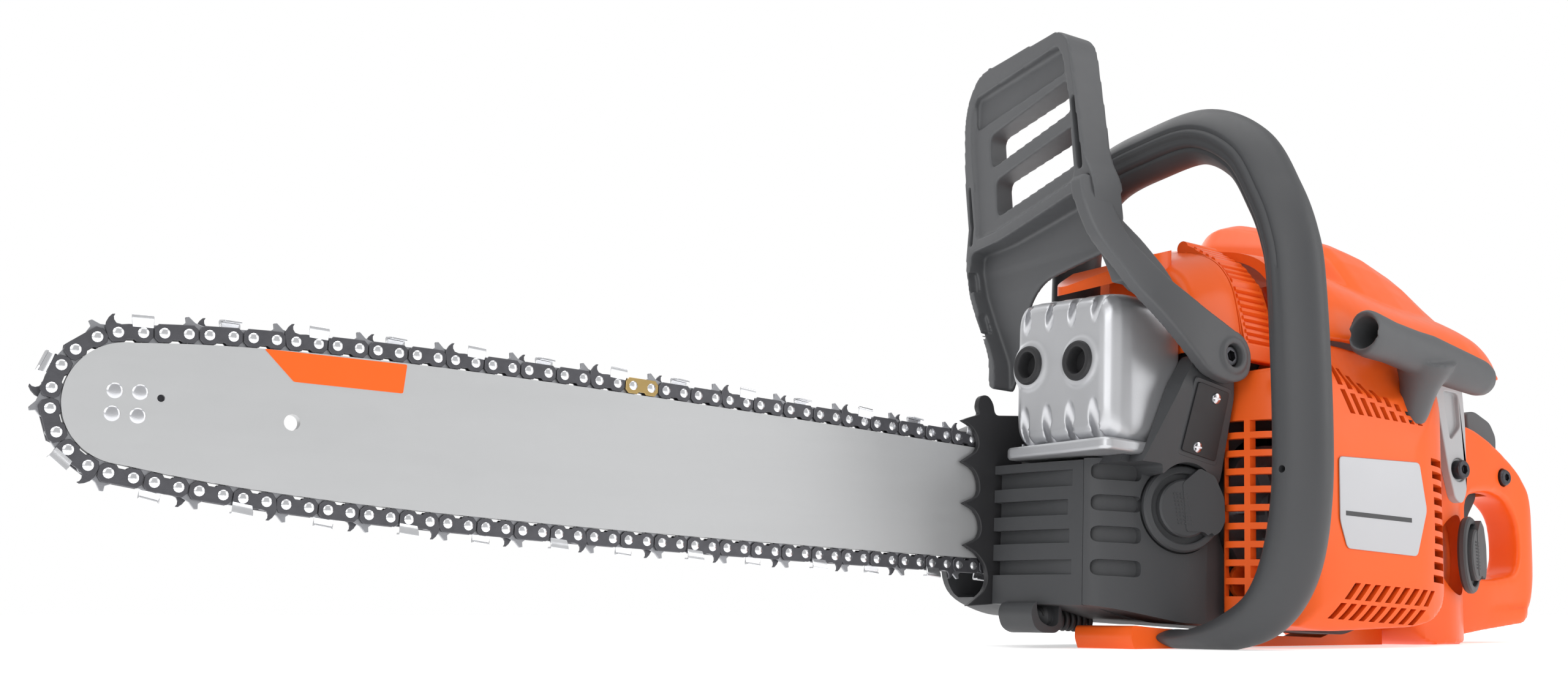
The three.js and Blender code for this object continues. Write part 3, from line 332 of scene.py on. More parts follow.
def settle(obj):
    """Bakes the modifiers of a working object into its mesh."""
    graph = bpy.context.evaluated_depsgraph_get()
    mesh = bpy.data.meshes.new_from_object(obj.evaluated_get(graph))
    obj.modifiers.clear()
    old, obj.data = obj.data, mesh
    bpy.data.meshes.remove(old)
    return obj


def solid(operation, body, others):
    for other in others:
        modifier = body.modifiers.new("solid", "BOOLEAN")
        modifier.operation, modifier.object, modifier.solver = operation, other, "EXACT"
    settle(body)
    for other in others:
        bpy.data.objects.remove(other)
    return body


def carve(body, *others):
    return solid("DIFFERENCE", body, others)


def unite(body, *others):
    return solid("UNION", body, others)


def within(body, *others):
    return solid("INTERSECT", body, others)


def gather(objects, name="part"):
    """One object from several that stay separate bodies."""
    work = bmesh.new()
    for obj in objects:
        work.from_mesh(obj.data)
    mesh = bpy.data.meshes.new(name)
    work.to_mesh(mesh)
    work.free()
    for obj in objects:
        bpy.data.objects.remove(obj)
    made = bpy.data.objects.new(name, mesh)
    scene.collection.objects.link(made)
    return made


def melt(obj, voxel, rounds):
    """Rounds every edge as in a moulding: an even remesh, then smoothing."""
    remesh = obj.modifiers.new("voxels", "REMESH")
    remesh.mode, remesh.voxel_size = "VOXEL", voxel
    smooth = obj.modifiers.new("smooth", "SMOOTH")
    smooth.factor, smooth.iterations = 0.5, rounds
    return settle(obj)


def piece(obj, name, material, body="powerhead", nodes=(), bevel=0.0, angle=35, segments=2,
          flat=False):
    """Sets a drawn object into the frame, with its finish, its edges and its body."""
    obj.name = obj.data.name = name
    obj.data.transform(SAW)
    obj.data.materials.clear()
    obj.data.materials.append(material)
    obj.data.polygons.foreach_set("material_index", [0] * len(obj.data.polygons))
    obj.data.polygons.foreach_set("use_smooth", [not flat] * len(obj.data.polygons))
    if not flat:
        obj.data.set_sharp_from_angle(angle=math.radians(angle))
    if bevel:
        edge = obj.modifiers.new("edges", "BEVEL")
        edge.width, edge.segments, edge.limit_method = bevel * MM, segments, "ANGLE"
        edge.angle_limit, edge.use_clamp_overlap = math.radians(angle), True
        edge.harden_normals = False
        obj.modifiers.new("normals", "WEIGHTED_NORMAL").keep_sharp = True
    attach(obj, body)
    if nodes:
        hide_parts(*nodes)
    return obj


def spline(points, per_span):
    """Smooth curve through points of any size (Catmull-Rom)."""
    vectors = [Vector(p) for p in points]
    out = []
    for i in range(len(vectors) - 1):
        p0, p1, p2 = vectors[max(i - 1, 0)], vectors[i], vectors[i + 1]
        p3 = vectors[min(i + 2, len(vectors) - 1)]
        for k in range(per_span):
            t = k / per_span
            out.append(0.5 * (2 * p1 + (p2 - p0) * t + (2 * p0 - 5 * p1 + 4 * p2 - p3) * t * t
                              + (3 * p1 - p0 - 3 * p2 + p3) * t ** 3))
    return out + [vectors[-1]]


# ---------------------------------------------------------------- guide bar
NOSE_X, NOSE_R = -520.0, 22.6  # centre of the nose wheel and the rail's radius round it
BAR_TAIL_X, BAR_TAIL_HALF, BAR_HALF = -33.0, 18.5, 2.1


def rail_height(s):
    """Half height of the rail at a distance behind the nose's centre."""
    return NOSE_R + 8.34 * (1 - math.exp(-s / 60)) - 2.37e-5 * s * s


def bar_outline(offset, tail=BAR_TAIL_X):
    run = [(NOSE_X + s, rail_height(s) + offset) for s in range(0, 451, 15)]
    run.append((tail, BAR_TAIL_HALF + offset))
    nose = [(NOSE_X + (NOSE_R + offset) * math.cos(a), (NOSE_R + offset) * math.sin(a))
            for a in (math.radians(90 + 5 * k) for k in range(1, 36))]
    return run[::-1] + nose + [(x, -z) for x, z in run]


def make_bar():
    bar = prism(bar_outline(0), -BAR_HALF, BAR_HALF)
    groove = carve(prism(bar_outline(2, BAR_TAIL_X + 5), -0.9, 0.9),
                   prism(bar_outline(-5.5, BAR_TAIL_X + 3), -2, 2))
    slot = prism(rounded([(-92, 4.1), (-92, -4.1), (-20, -4.1), (-20, 4.1)], 3.5), -5, 5)
    holes = [rod_y(x, z, -5, 5, r) for x, z, r in
             ((-459, 0, 3.2), (-508.3, 3.3, 1.4), (-60, 14, 3), (-60, -14, 3))]
    piece(carve(bar, groove, slot, *holes), "bar_blade", BAR_STEEL, nodes=["guide_bar"], bevel=0.35)
    dome = [(2.9, 0), (2.7, 0.16), (2.0, 0.32), (1.0, 0.4), (0, 0.42)]
    rivets = [turned((x, side * (BAR_HALF - 0.02), z), (x, side * 9, z), dome, 28)
              for x, z in ((-524.8, 4.1), (-515.9, 4.6), (-524.8, -4.4), (-515.8, -4.2))
              for side in (-1, 1)]
    piece(gather(rivets), "bar_nose_rivets", STEEL)
    flag = rounded([(-472.5, 27.1), (-415.2, 28.7), (-415.9, 16.8), (-460, 15.8)], 0.8)
    piece(prism(flag, -BAR_HALF - 0.12, -BAR_HALF), "bar_sticker", ORANGE)


# ---------------------------------------------------------------- saw chain
PITCH_SPAN = (8.94, 7.57)  # rivet spacing inside a strap, and from one strap to the next
RIVETS = 144
RIVET_LIFT = 3.8  # rivet line above the rail
DRIVE_R = 14.6  # chain seat on the drive sprocket
JOINING_LINK = 13  # the strap pair of the bright joining link


def chain_path():
    """Rivet line from the nose's top to the rear, round the drive sprocket and back."""
    run = [(NOSE_X + s, rail_height(s) + RIVET_LIFT) for s in range(0, 451, 5)]
    r = DRIVE_R + RIVET_LIFT
    wheel = [(r * math.cos(a), r * math.sin(a))
             for a in (math.radians(90 - 6 * k) for k in range(31))]
    r = NOSE_R + RIVET_LIFT
    nose = [(NOSE_X + r * math.cos(a), r * math.sin(a))
            for a in (math.radians(-90 - 4 * k) for k in range(1, 45))]
    path = [Vector(p) for p in run + wheel + [(x, -z) for x, z in run[::-1]] + nose]
    lengths = [0.0]
    for a, b in zip(path, path[1:] + path[:1]):
        lengths.append(lengths[-1] + (b - a).length)
    return path + path[:1], lengths


def along_path(path, lengths, s):
    s %= lengths[-1]
    i = max(k for k in range(len(path) - 1) if lengths[k] <= s)
    return path[i].lerp(path[i + 1], (s - lengths[i]) / (lengths[i + 1] - lengths[i]))


def rivet_points():
    path, lengths = chain_path()
    scale = lengths[-1] / (RIVETS / 2 * sum(PITCH_SPAN))
    s = lengths[-1] - 6.1  # the first cutter's front rivet, just over the nose
    points = []
    for k in range(RIVETS):
        points.append(along_path(path, lengths, s))
        s += PITCH_SPAN[k % 2] * scale
    return points


TIE = [(-8, -1.7), (-6.4, -3.5), (-2.2, -3.5), (-1.3, -2.5), (1.3, -2.5), (2.2, -3.5), (6.4, -3.5),
       (8, -1.7), (8, 1.7), (6.4, 3.5), (-6.4, 3.5), (-8, 1.7)]
CUTTER_SIDE = [(-8, -1.7), (-6.4, -3.5), (-2.2, -3.5), (-1.3, -2.5), (1.3, -2.5), (2.2, -3.5),
               (6.4, -3.5), (8, -1.7), (8.1, 3.2), (0.9, 3.2), (-0.6, 3.3), (-3.2, 3.1),
               (-5.0, 3.6), (-5.8, 4.8), (-5.9, 6.0), (-5.3, 7.0), (-6.4, 6.9), (-7.6, 5.7),
               (-8.6, 3.9), (-8.9, 2.0)]
DRIVE_LINK = [(-7.2, 1.6), (-5.6, 3.2), (5.6, 3.2), (7.2, 1.6), (7.0, -1.0), (4.4, -2.8), (2.6,
                                                                                           -4.6),
              (1.2, -7.9), (-0.6, -8.4), (-1.6, -7.0), (-2.6, -4.4), (-5.0, -2.8), (-7.0, -1.0)]
BUMPER_LINK = [(-7.4, 1.6), (-5.6, 3.2), (-2.0, 3.4), (1.2, 4.6), (3.6, 6.9), (4.9, 6.6), (4.6,
                                                                                           4.6),
               (6.6, 3.0), (7.2, 1.6), (7.0, -1.0), (4.4, -2.8), (2.6, -4.6), (1.2, -7.9),
               (-0.6, -8.4), (-1.6, -7.0), (-2.6, -4.4), (-5.0, -2.8), (-7.0, -1.0)]
# Curled top of a near side cutter, (y, height), and how far its front edge is set back.
CUTTER_TOP = [(-1.0, 2.2, 0.4), (-2.1, 2.2, 0.4), (-2.6, 3.2, 0.2), (-3.2, 4.6, 0), (-3.5, 6.2,
                                                                                     -0.2),
              (-3.1, 7.0, 0), (0.2, 6.8, 1.6), (0.2, 6.1, 1.6), (-2.5, 6.1, 0.4), (-2.5, 4.8, 0.2),
              (-2.0, 3.4, 0.4), (-1.0, 2.9, 0.4)]


def on_link(front, rear):
    """Maps (along, height, y) of a link into the saw's frame, along running from front to rear."""
    along = (rear - front).normalized()
    centre = (front + rear) / 2
    return lambda t, n, y: (centre.x + along.x * t - along.y * n, y,
                            centre.y + along.y * t + along.x * n)


def link_plate(place, outline, y0, y1):
    n = len(outline)
    verts = [place(t, h, y) for y in (y0, y1) for t, h in outline]
    return verts, [list(range(n))[::-1], list(range(n, 2 * n))] + [
        (i, (i + 1) % n, n + (i + 1) % n, n + i) for i in range(n)]


def assemble(parts, name):
    verts, faces = [], []
    for more, polygons in parts:
        faces += [[i + len(verts) for i in polygon] for polygon in polygons]
        verts += more
    return new_object(verts, faces, name)


def make_chain():
    points = rivet_points()
    straps, gold, centre, tops, domes = [], [], [], [], []
    for k in range(RIVETS // 2):
        place = on_link(points[2 * k], points[2 * k + 1])
        kind = k % 4  # near cutter, tie, far cutter, tie
        for side in (-1, 1):
            cutter = (kind == 0 and side < 0) or (kind == 2 and side > 0)
            y0, y1 = sorted((side * 0.95, side * 2.05))
            plate = link_plate(place, CUTTER_SIDE if cutter else TIE, y0, y1)
            (gold if k == JOINING_LINK and side < 0 else straps).append(plate)
            if cutter:
                rings = [[place(t + (back if t < 4 else 0), h - (0.5 if t > 4 else 0), -side * y)
                          for y, h, back in CUTTER_TOP] for t in (0.2, 8.1)]
                tops.append((rings[0] + rings[1], between(len(CUTTER_TOP))))
        ahead = points[(2 * k + 2) % RIVETS]
        link = BUMPER_LINK if kind in (1, 3) else DRIVE_LINK
        mirrored = [(-t, h) for t, h in link[::-1]] if kind in (1, 3) else link
        centre.append(link_plate(on_link(points[2 * k + 1], ahead), mirrored, -0.62, 0.62))
    for p in points:
        for side in (-1, 1):
            foot = (p.x, side * 2.0, p.y)
            domes.append(turned(foot, (p.x, side * 9, p.y),
                                [(2.1, 0), (2.0, 0.35), (1.5, 0.62), (0.8, 0.76), (0, 0.8)], 14))
    piece(assemble(straps, "straps"), "chain_straps", CHAIN_STEEL, nodes=["saw_chain"], bevel=0.22,
          angle=50, segments=1)
    piece(assemble(gold, "gold"), "chain_joining_link", BRASS, bevel=0.22, angle=50)
    piece(assemble(centre, "centre"), "chain_drive_links", LINK_STEEL, bevel=0.15, angle=50,
          segments=1)
    piece(assemble(tops, "tops"), "chain_cutter_tops", CHROME, bevel=0.12, angle=40, segments=1)
    piece(gather(domes), "chain_rivets", CHROME)


# ---------------------------------------------------------------- front handle
HANDLE_X = -57.0
HANDLE_ACROSS = 13.9
# y and z of the tube's centre and its half width across the path
HANDLE_PATH = [(-76.4, -62.3, 4.4), (-90, -62, 4.8), (-110, -58.5, 8), (-130, -49, 11),
               (-143, -30, 13.2), (-149.5, 0, 13.2), (-150.4, 40, 13.2), (-147.8, 98, 13),
               (-144, 120, 13), (-136, 140, 13), (-121, 164, 13.2), (-94, 179, 13), (-58, 178, 13),
               (-31, 173, 13), (-14, 161, 12), (-5, 142, 11.5), (-3, 118, 11.5), (-3, 58, 11.5)]
HANDLE_GROOVES = (176, 197, 219)  # degrees round the tube, on its front and inner side


def make_front_handle():
    path = spline(HANDLE_PATH, 14)
    rings = []
    for i, point in enumerate(path):
        y, z, half = point
        ahead, behind = path[min(i + 1, len(path) - 1)], path[max(i - 1, 0)]
        along = Vector((ahead.x - behind.x, ahead.y - behind.y)).normalized()
        share = i / len(path)
        grooved = min(1, max(0, min((share - 0.36) * 14, (0.86 - share) * 14)))
        ring = []
        for a in angles(72):
            flat = 1.0 + 0.035 * math.cos(4 * a)
            depth = sum(1.2 * max(0, 1 - abs(math.degrees(a) - g) / 5) for g in HANDLE_GROOVES)
            across = (half * flat - depth * grooved) * math.sin(a)
            out = (HANDLE_ACROSS * flat - depth * grooved) * math.cos(a)
            ring.append((HANDLE_X + out, y - along.y * across, z + along.x * across))
        rings.append(ring)
    tube = carve(skin(rings), rod((-90, -151, 11), (-66, -151, 11), 1.7, sides=20),
                 ground_block())
    piece(tube, "handle_tube", HANDLE_GREY, nodes=["front_handle"], angle=50)


def ground_block():
    slope = math.tan(TILT)
    points = [(-700, GROUND + (-700) * slope), (700, GROUND + 700 * slope), (700, GROUND - 200),
              (-700, GROUND - 200)]
    return prism(points, -400, 400)


# ---------------------------------------------------------------- starter grip
GRIP_LEFT, GRIP_RIGHT = Vector((7, -133, 86)), Vector((105, -131, 75))
GRIP_FOOT = Vector((60, -121, 56))


def make_grip():
    along = (GRIP_RIGHT - GRIP_LEFT).normalized()
    length = (GRIP_RIGHT - GRIP_LEFT).length
    across = along.cross(Vector((0, -1, 0))).normalized()
    depth = along.cross(across)
    rings = []
    for share, high, deep in ((0, 11.3, 8.6), (0.05, 11.6, 9.0), (0.2, 10.4, 9.0), (0.38, 10.6,
                                                                                    9.2),
                              (0.5, 11.4, 9.4), (0.62, 10.8, 9.3), (0.8, 10.0, 9.0), (0.92, 9.4,
                                                                                      8.6),
                              (0.97, 8.0, 7.4), (0.993, 5.2, 4.8), (1.0, 2.0, 2.0)):
        centre = GRIP_LEFT + along * length * share
        rings.append([centre + across * high * math.cos(a) + depth * deep * math.sin(a)
                      for a in angles(40)])
    bar = skin(rings)
    hip = GRIP_LEFT + along * length * 0.49
    stem = turned(hip, GRIP_FOOT, [(15, 0), (13.5, 5), (11.2, 10), (9.4, 15), (8.2, 21), (7.4, 28),
                                   (6.2, 33)], 32)
    hollow = turned(GRIP_LEFT - along, GRIP_RIGHT, [(8.2, 0), (6.9, 12), (6.0, 30)], 32)
    grip = melt(carve(unite(bar, stem), hollow), 0.9, 6)
    piece(grip, "starter_grip_tee", GREY, "pull_grip", ["starter_grip"], angle=70)


# ---------------------------------------------------------------- filler caps
OIL_CAP, OIL_TURN = (-61, -82, -2), 17  # centre of the face, degrees its axis is turned
FUEL_CAP, FUEL_TURN = (150, -86, -8), -24


def make_cap(name, node, body, centre, turn, radius=20.4):
    """A flush cap: rim, ring groove open to one side, dotted disc and a flip-up wedge."""
    rim = turned((0, 2, 0), (0, -9, 0), [(radius - 1, 0), (radius, 1.2), (radius, 3.2),
                                         (radius - 0.8, 4.2), (17.2, 4.6), (16.6, 4.2), (16.4, 2.4),
                                         (0, 2.4)], 64)
    disc = turned((0, 0.5, 0), (0, -9, 0), [(13.6, 0), (13.6, 4.4), (12.8, 5.2), (0, 5.4)], 64)
    wedge = prism(rounded([(-2, 11.6), (7, 19.4), (15, 16), (19.8, 6), (20.2, -5), (17.5, -10.2),
                           (12.5, -13), (9, -10.4), (0, -11)], 1.6), -5.0, 1)
    cap = unite(rim, disc, wedge)
    cap = carve(cap, prism(rounded([(-13.2, 10.6), (-10.4, 14.2), (-7.6, 12.2), (-10.2, 8.8)], 0.8),
                           -9, -3.0),
                prism(rounded([(10.6, -12.4), (13, -15.6), (15.4, -13.2), (13.4, -10.6)], 0.8),
                      -9, -3.0))
    dots = []
    for i in range(9):
        for j in range(5):
            x, z = -6.4 + 1.7 * j + 0.3 * i, 6.4 - 1.7 * i
            if math.hypot(x, z) < 11.8 and x < 3.2:
                dots.append(turned((x, -4.8, z), (x, -9, z), [(0.55, 0), (0.4, 0.28), (0, 0.36)],
                                   8))
    cap = gather([cap, *dots])
    turn_and_move(cap, centre, -turn)
    piece(cap, name, DARK, body, [node], bevel=0.35, angle=32)


# ---------------------------------------------------------------- muffler
PORTS = ((-31, 66), (-66, 64))  # y and z of the two outlets


def rounded_box_ring(x, y0, y1, z0, z1, radius, inset):
    points = rounded([(y0 + inset, z0 + inset), (y1 - inset, z0 + inset + 1), (y1 - inset,
                                                                               z1 - inset),
                      (y0 + inset, z1 - inset - 4)], radius, 6)
    return [(x, y, z) for y, z in points]


def make_muffler():
    rings = [rounded_box_ring(x, -86.4, -17, 25, 100, r, inset) for x, r, inset in (
        (-67.5, 8, 0), (-98, 9, 0), (-104, 10, 0.6), (-108.4, 11, 2.2), (-110.8, 11, 4.6),
        (-111.8, 11, 7.4))]
    shell = skin(rings)
    dents = []
    for y in (-76, -60, -44, -28):
        dents.append(rod((-116, y, 78), (-103, y, 103), 2.7, sides=16))
        dents.append(rod((-115.4, y + 0.5, 47), (-104.5, y + 0.5, 23.5), 3.1, sides=16))
    shell = carve(shell, *dents)
    dishes = [turned((-109, y, z), (-120, y, z), [(14, 0), (13.2, 2.2), (11.4, 3.6), (8, 4.2)], 48)
              for y, z in PORTS]
    shell = unite(shell, *dishes)
    shell = melt(carve(shell, *[rod((-120, y, z), (-100, y, z), 7.6) for y, z in PORTS]), 0.75, 7)
    piece(shell, "muffler_shell", MUFFLER, nodes=["muffler"], angle=80)
    collars = []
    for y, z in PORTS:
        collars.append(turned((-104, y, z), (-120, y, z), [
            (9.6, 4), (9.6, 9.6), (9.0, 10.6), (7.8, 10.9), (6.6, 10.5), (6.1, 9.6), (6.1, 0),
            (0, 0)], 48))
    piece(gather(collars), "muffler_ports", BLACK_STEEL, angle=40)
    lip = prism(rounded([(-114.5, -87), (-114.5, -16), (-68, -16), (-68, -87)], 5), 20.6, 26.5,
                "xy")
    piece(lip, "muffler_flange", MUFFLER, bevel=1.6, segments=3)


# ---------------------------------------------------------------- spikes and front spring
SPIKES = [(-94, 46), (-112, 44), (-113, 50), (-117, 54), (-122.4, 52.4), (-123.6, 46.6), (-121.6,
                                                                                          43.4),
          (-127, 41.6), (-132.9, 39.2, 0), (-126.2, 36.8), (-122.4, 32), (-121.8, 27.6), (-123.6,
                                                                                          24.4),
          (-132.2, 18.8, 0), (-124.6, 16.2), (-121.2, 11), (-120.6, 5.4), (-122.4, 2.4),
          (-130.7, -1.4, 0), (-123.6, -3.8), (-119.8, -8.4), (-119, -13.8), (-120.8, -17.8),
          (-129.3, -21.7, 0), (-121.6, -24.8), (-116.2, -30), (-114, -37), (-116.4, -43),
          (-126.8, -50.9, 0), (-110, -49), (-94, -44)]


def make_spikes():
    plate = carve(prism(rounded(SPIKES, 3, 4), -5.7, -2.7), block(-100, -88, -9, 0, -15, 15))
    piece(plate, "spike_plate", BLACK_STEEL, nodes=["spike_bumper"], bevel=0.5, segments=3)


SPRING_AXIS = (-28.0, -54.6)  # y and z


def make_front_spring():
    y0, z0 = SPRING_AXIS
    rings, turns, steps = [], 9, 22
    for i in range(turns * steps + 1):
        a = 2 * math.pi * i / steps
        x = -103 + 33 * i / (turns * steps)
        rings.append([(x + 1.35 * math.sin(b), y0 + (4.6 + 1.35 * math.cos(b)) * math.cos(a),
                       z0 + (4.6 + 1.35 * math.cos(b)) * math.sin(a))
                      for b in angles(10)])
    coil = unite(skin(rings), rod((-100, y0, z0), (-72, y0, z0), 3.2, sides=20))
    piece(coil, "isolator_spring", BLACK, nodes=["av_spring_front"], angle=60)
    cup = prism(rounded([(-113, -48), (-115.5, -53), (-113, -60), (-108, -62.4), (-99, -62),
                         (-96, -59), (-96, -48)], 4), -39, -15)
    hollow = prism(rounded([(-112, -44), (-111.5, -52), (-109.5, -57), (-103, -59.4), (-98, -58),
                            (-98, -44)], 3), -41, -18)
    cup = unite(carve(cup, hollow), turned((-104, y0, z0), (-98, y0, z0), [(3, 0), (7, 3), (7, 6)],
                                           32))
    piece(cup, "isolator_bracket", DARK, bevel=0.6)


# ---------------------------------------------------------------- hand guard
PIVOT = (-51.0, 70.0)  # x and z of its screw
GUARD_DEPTH = 19.0
GUARD_OUTLINE = [(-70, 226), (14, 228), (31, 212), (36, 180), (37, 150), (36, 127), (28, 102), (17,
                                                                                                80),
                 (15, 62), (9, 60), (3, 72), (-2, 90), (-8, 104), (-20, 113), (-50, 117), (-82,
                                                                                           120),
                 (-82, 150), (-75, 162), (-73, 190)]
GUARD_WINDOWS = ([(8, 170), (9, 151), (-66, 160), (-66, 179)], [(10, 194), (11, 177), (-65, 186),
                                                                (-65, 202)])
GUARD_ARM = [(-39.5, 62), (-38.5, 72), (-43, 80), (-50, 82.5), (-68, 90), (-90, 103), (-104, 120),
             (-107, 148), (-126, 152), (-125, 116), (-111, 93), (-86, 76), (-66, 60), (-57, 57.6),
             (-48, 57.2)]


def guard_front(y, z):
    """x of the guard's front surface: it leans back downwards and is turned to the bar's side."""
    near = -119 - (z - 159) * 0.13 if z > 122 else -114.2 - (122 - z) * 0.03
    swing = (max(12.8, 17.1 - (150 - min(z, 150)) * 0.18) if z > 112
             else min(18, 12.8 + (112 - z) * 0.15))
    return near + swing * (y + 72) / 97


def make_guard():
    plate = prism(rounded(GUARD_OUTLINE, 13, 6), 0, GUARD_DEPTH, "yz")
    field = rounded([(22, 214), (26, 196), (28, 142), (8, 143), (-66, 152), (-67, 192), (-64,
                                                                                         217)], 6)
    panel = rounded([(20, 216), (23, 200), (-64, 206), (-62, 219)], 4)
    shell = rounded([(32, 136), (31, 122), (22, 98), (11, 74), (8, 50), (-10, 50), (-90, 100),
                     (-90, 121), (-76, 136), (-64, 146), (4, 137)], 4)
    back = rounded([(8, 220), (28, 204), (32, 172), (33, 132), (24, 100), (12, 76), (10, 50),
                    (-120, 50),
                    (-100, 140), (-66, 150), (-68, 190), (-65, 219)], 8)
    cuts = [prism(field, -5, 2.4, "yz"), prism(panel, -5, 5.6, "yz"), prism(shell, -5, 14.5, "yz"),
            prism(rounded(back, 1, 1), 17.5, 30, "yz")]
    cuts += [prism(rounded(window, 4), -9, 40, "yz") for window in GUARD_WINDOWS]
    slots = [[(-71.4, 192), (-68.6, 192), (-69, 156), (-73.6, 156)],
             [(33.6, 172), (30.8, 172), (31, 140), (34.6, 140)],
             [(34.2, 126), (31.6, 126), (28.4, 114), (31, 114)],
             [(25.6, 102), (23.4, 102), (18.4, 88), (20.6, 88)]]
    cuts += [prism(rounded(slot, 0.8), -5, 8, "yz") for slot in slots]
    neck = prism(rounded([(-60, 144), (-79, 152), (-78, 136), (-80, 118)], 1), -5, 14, "yz")
    plate = melt(carve(plate, *cuts, neck), 0.9, 4)
    for vert in plate.data.vertices:
        y, z = vert.co.y, vert.co.z
        deep = vert.co.x * (1 - 0.3 * max(0, min(1, (y + 60) / 90)))
        vert.co.x = guard_front(y, z) + deep
    arm = prism(rounded(GUARD_ARM, 7, 5), -7, 0)
    sheet = prism(rounded([(-114, 150), (-104, 147), (-92, 140), (-80, 128), (-72, 113), (-69, 99),
                           (-82, 92), (-104, 96), (-113, 120)], 5), 6, 9)
    boss = rod_y(*PIVOT, -7, 2, 12.4, sides=64)
    ring = rod_y(*PIVOT, -8.2, -5, 8.4, sides=48)
    arm = unite(arm, boss, sheet, ring, block(-112, -100, 0, 8, 98, 146))
    arm = carve(arm, rod_y(*PIVOT, -12, -1, 5.6, sides=40))
    arm = melt(arm, 0.8, 4)
    for vert in arm.data.vertices:
        share = max(0, min(1, (vert.co.z - 84) / 66))
        share = share * share * (3 - 2 * share)
        vert.co.y += -98.4 + 25.5 * share
    piece(plate, "guard_frame", GREY, "hand_guard", ["front_hand_guard"], angle=80)
    piece(arm, "guard_arm", GREY, "hand_guard", angle=80)
    screw = turned((PIVOT[0], -96, PIVOT[1]), (PIVOT[0], -120, PIVOT[1]),
                   [(4.9, 0), (4.9, 7.2), (4.4, 7.9), (3.4, 8.1), (0, 8.1)], 40)
    x, z = PIVOT
    socket = rod_y(x, z, -110, -101, 2.7, sides=6)
    piece(carve(screw, socket), "guard_pivot_head", DARK_STEEL, nodes=["guard_pivot_screw"],
          bevel=0.3)


# ---------------------------------------------------------------- starter cover
COVER_Y, OUTER_Y, WALL = -84.5, -125.0, 3.0
COVER_SIDE = [(-41, -48), (-41, 58), (-35, 66), (-13, 68), (-8, 80), (5, 83), (58, 82), (84, 64),
              (100, 42), (103, 10), (98, -16), (84, -38), (62, -50), (-5, -56), (-34, -54)]
COVER_PLAN = [(-41, COVER_Y), (-33, -111), (-20, -123.5), (-2, OUTER_Y), (62, OUTER_Y), (84, -119),
              (101, -104), (103, COVER_Y)]
COVER_EDGE = [(COVER_Y, -58), (-116, -58), (-123, -50), (OUTER_Y, -40), (OUTER_Y, 40), (-120, 70),
              (-113, 84), (COVER_Y, 86)]
COVER_SCREWS = ((-24, 57), (-25, -34))


def shrink(points, by, centre):
    out = []
    if not by:
        return points
    for x, y in points:
        dx, dy = x - centre[0], y - centre[1]
        out.append((centre[0] + dx * (1 - by / max(abs(dx), by * 4)),
                    centre[1] + dy * (1 - by / max(abs(dy), by * 4))))
    return out


def cover_solid(by):
    side = prism(rounded(shrink(COVER_SIDE, by, (30, 5)), 12 - by, 7), OUTER_Y - 5, COVER_Y + by)
    plan = prism(rounded(shrink(COVER_PLAN, by, (30, COVER_Y + 9)), 10, 7), -70, 100, "xy")
    edge = prism(rounded(shrink(COVER_EDGE, by, (COVER_Y + 9, 5)), 7, 6), -60, 120, "yz")
    return within(side, plan, edge)


def ellipsoid(centre, radii, sides=40):
    rings = []
    for i in range(1, sides // 2):
        b = math.pi * i / (sides // 2)
        rings.append([(centre[0] + radii[0] * math.sin(b) * math.cos(a),
                       centre[1] + radii[1] * math.sin(b) * math.sin(a),
                       centre[2] - radii[2] * math.cos(b))
                      for a in angles(sides)])
    return skin(rings)


def slanted(x, z0, z1, wide, lean):
    return prism([(x, z0), (x + wide, z0), (x + wide + lean * (z1 - z0), z1),
                  (x + lean * (z1 - z0), z1)], -135, -106)


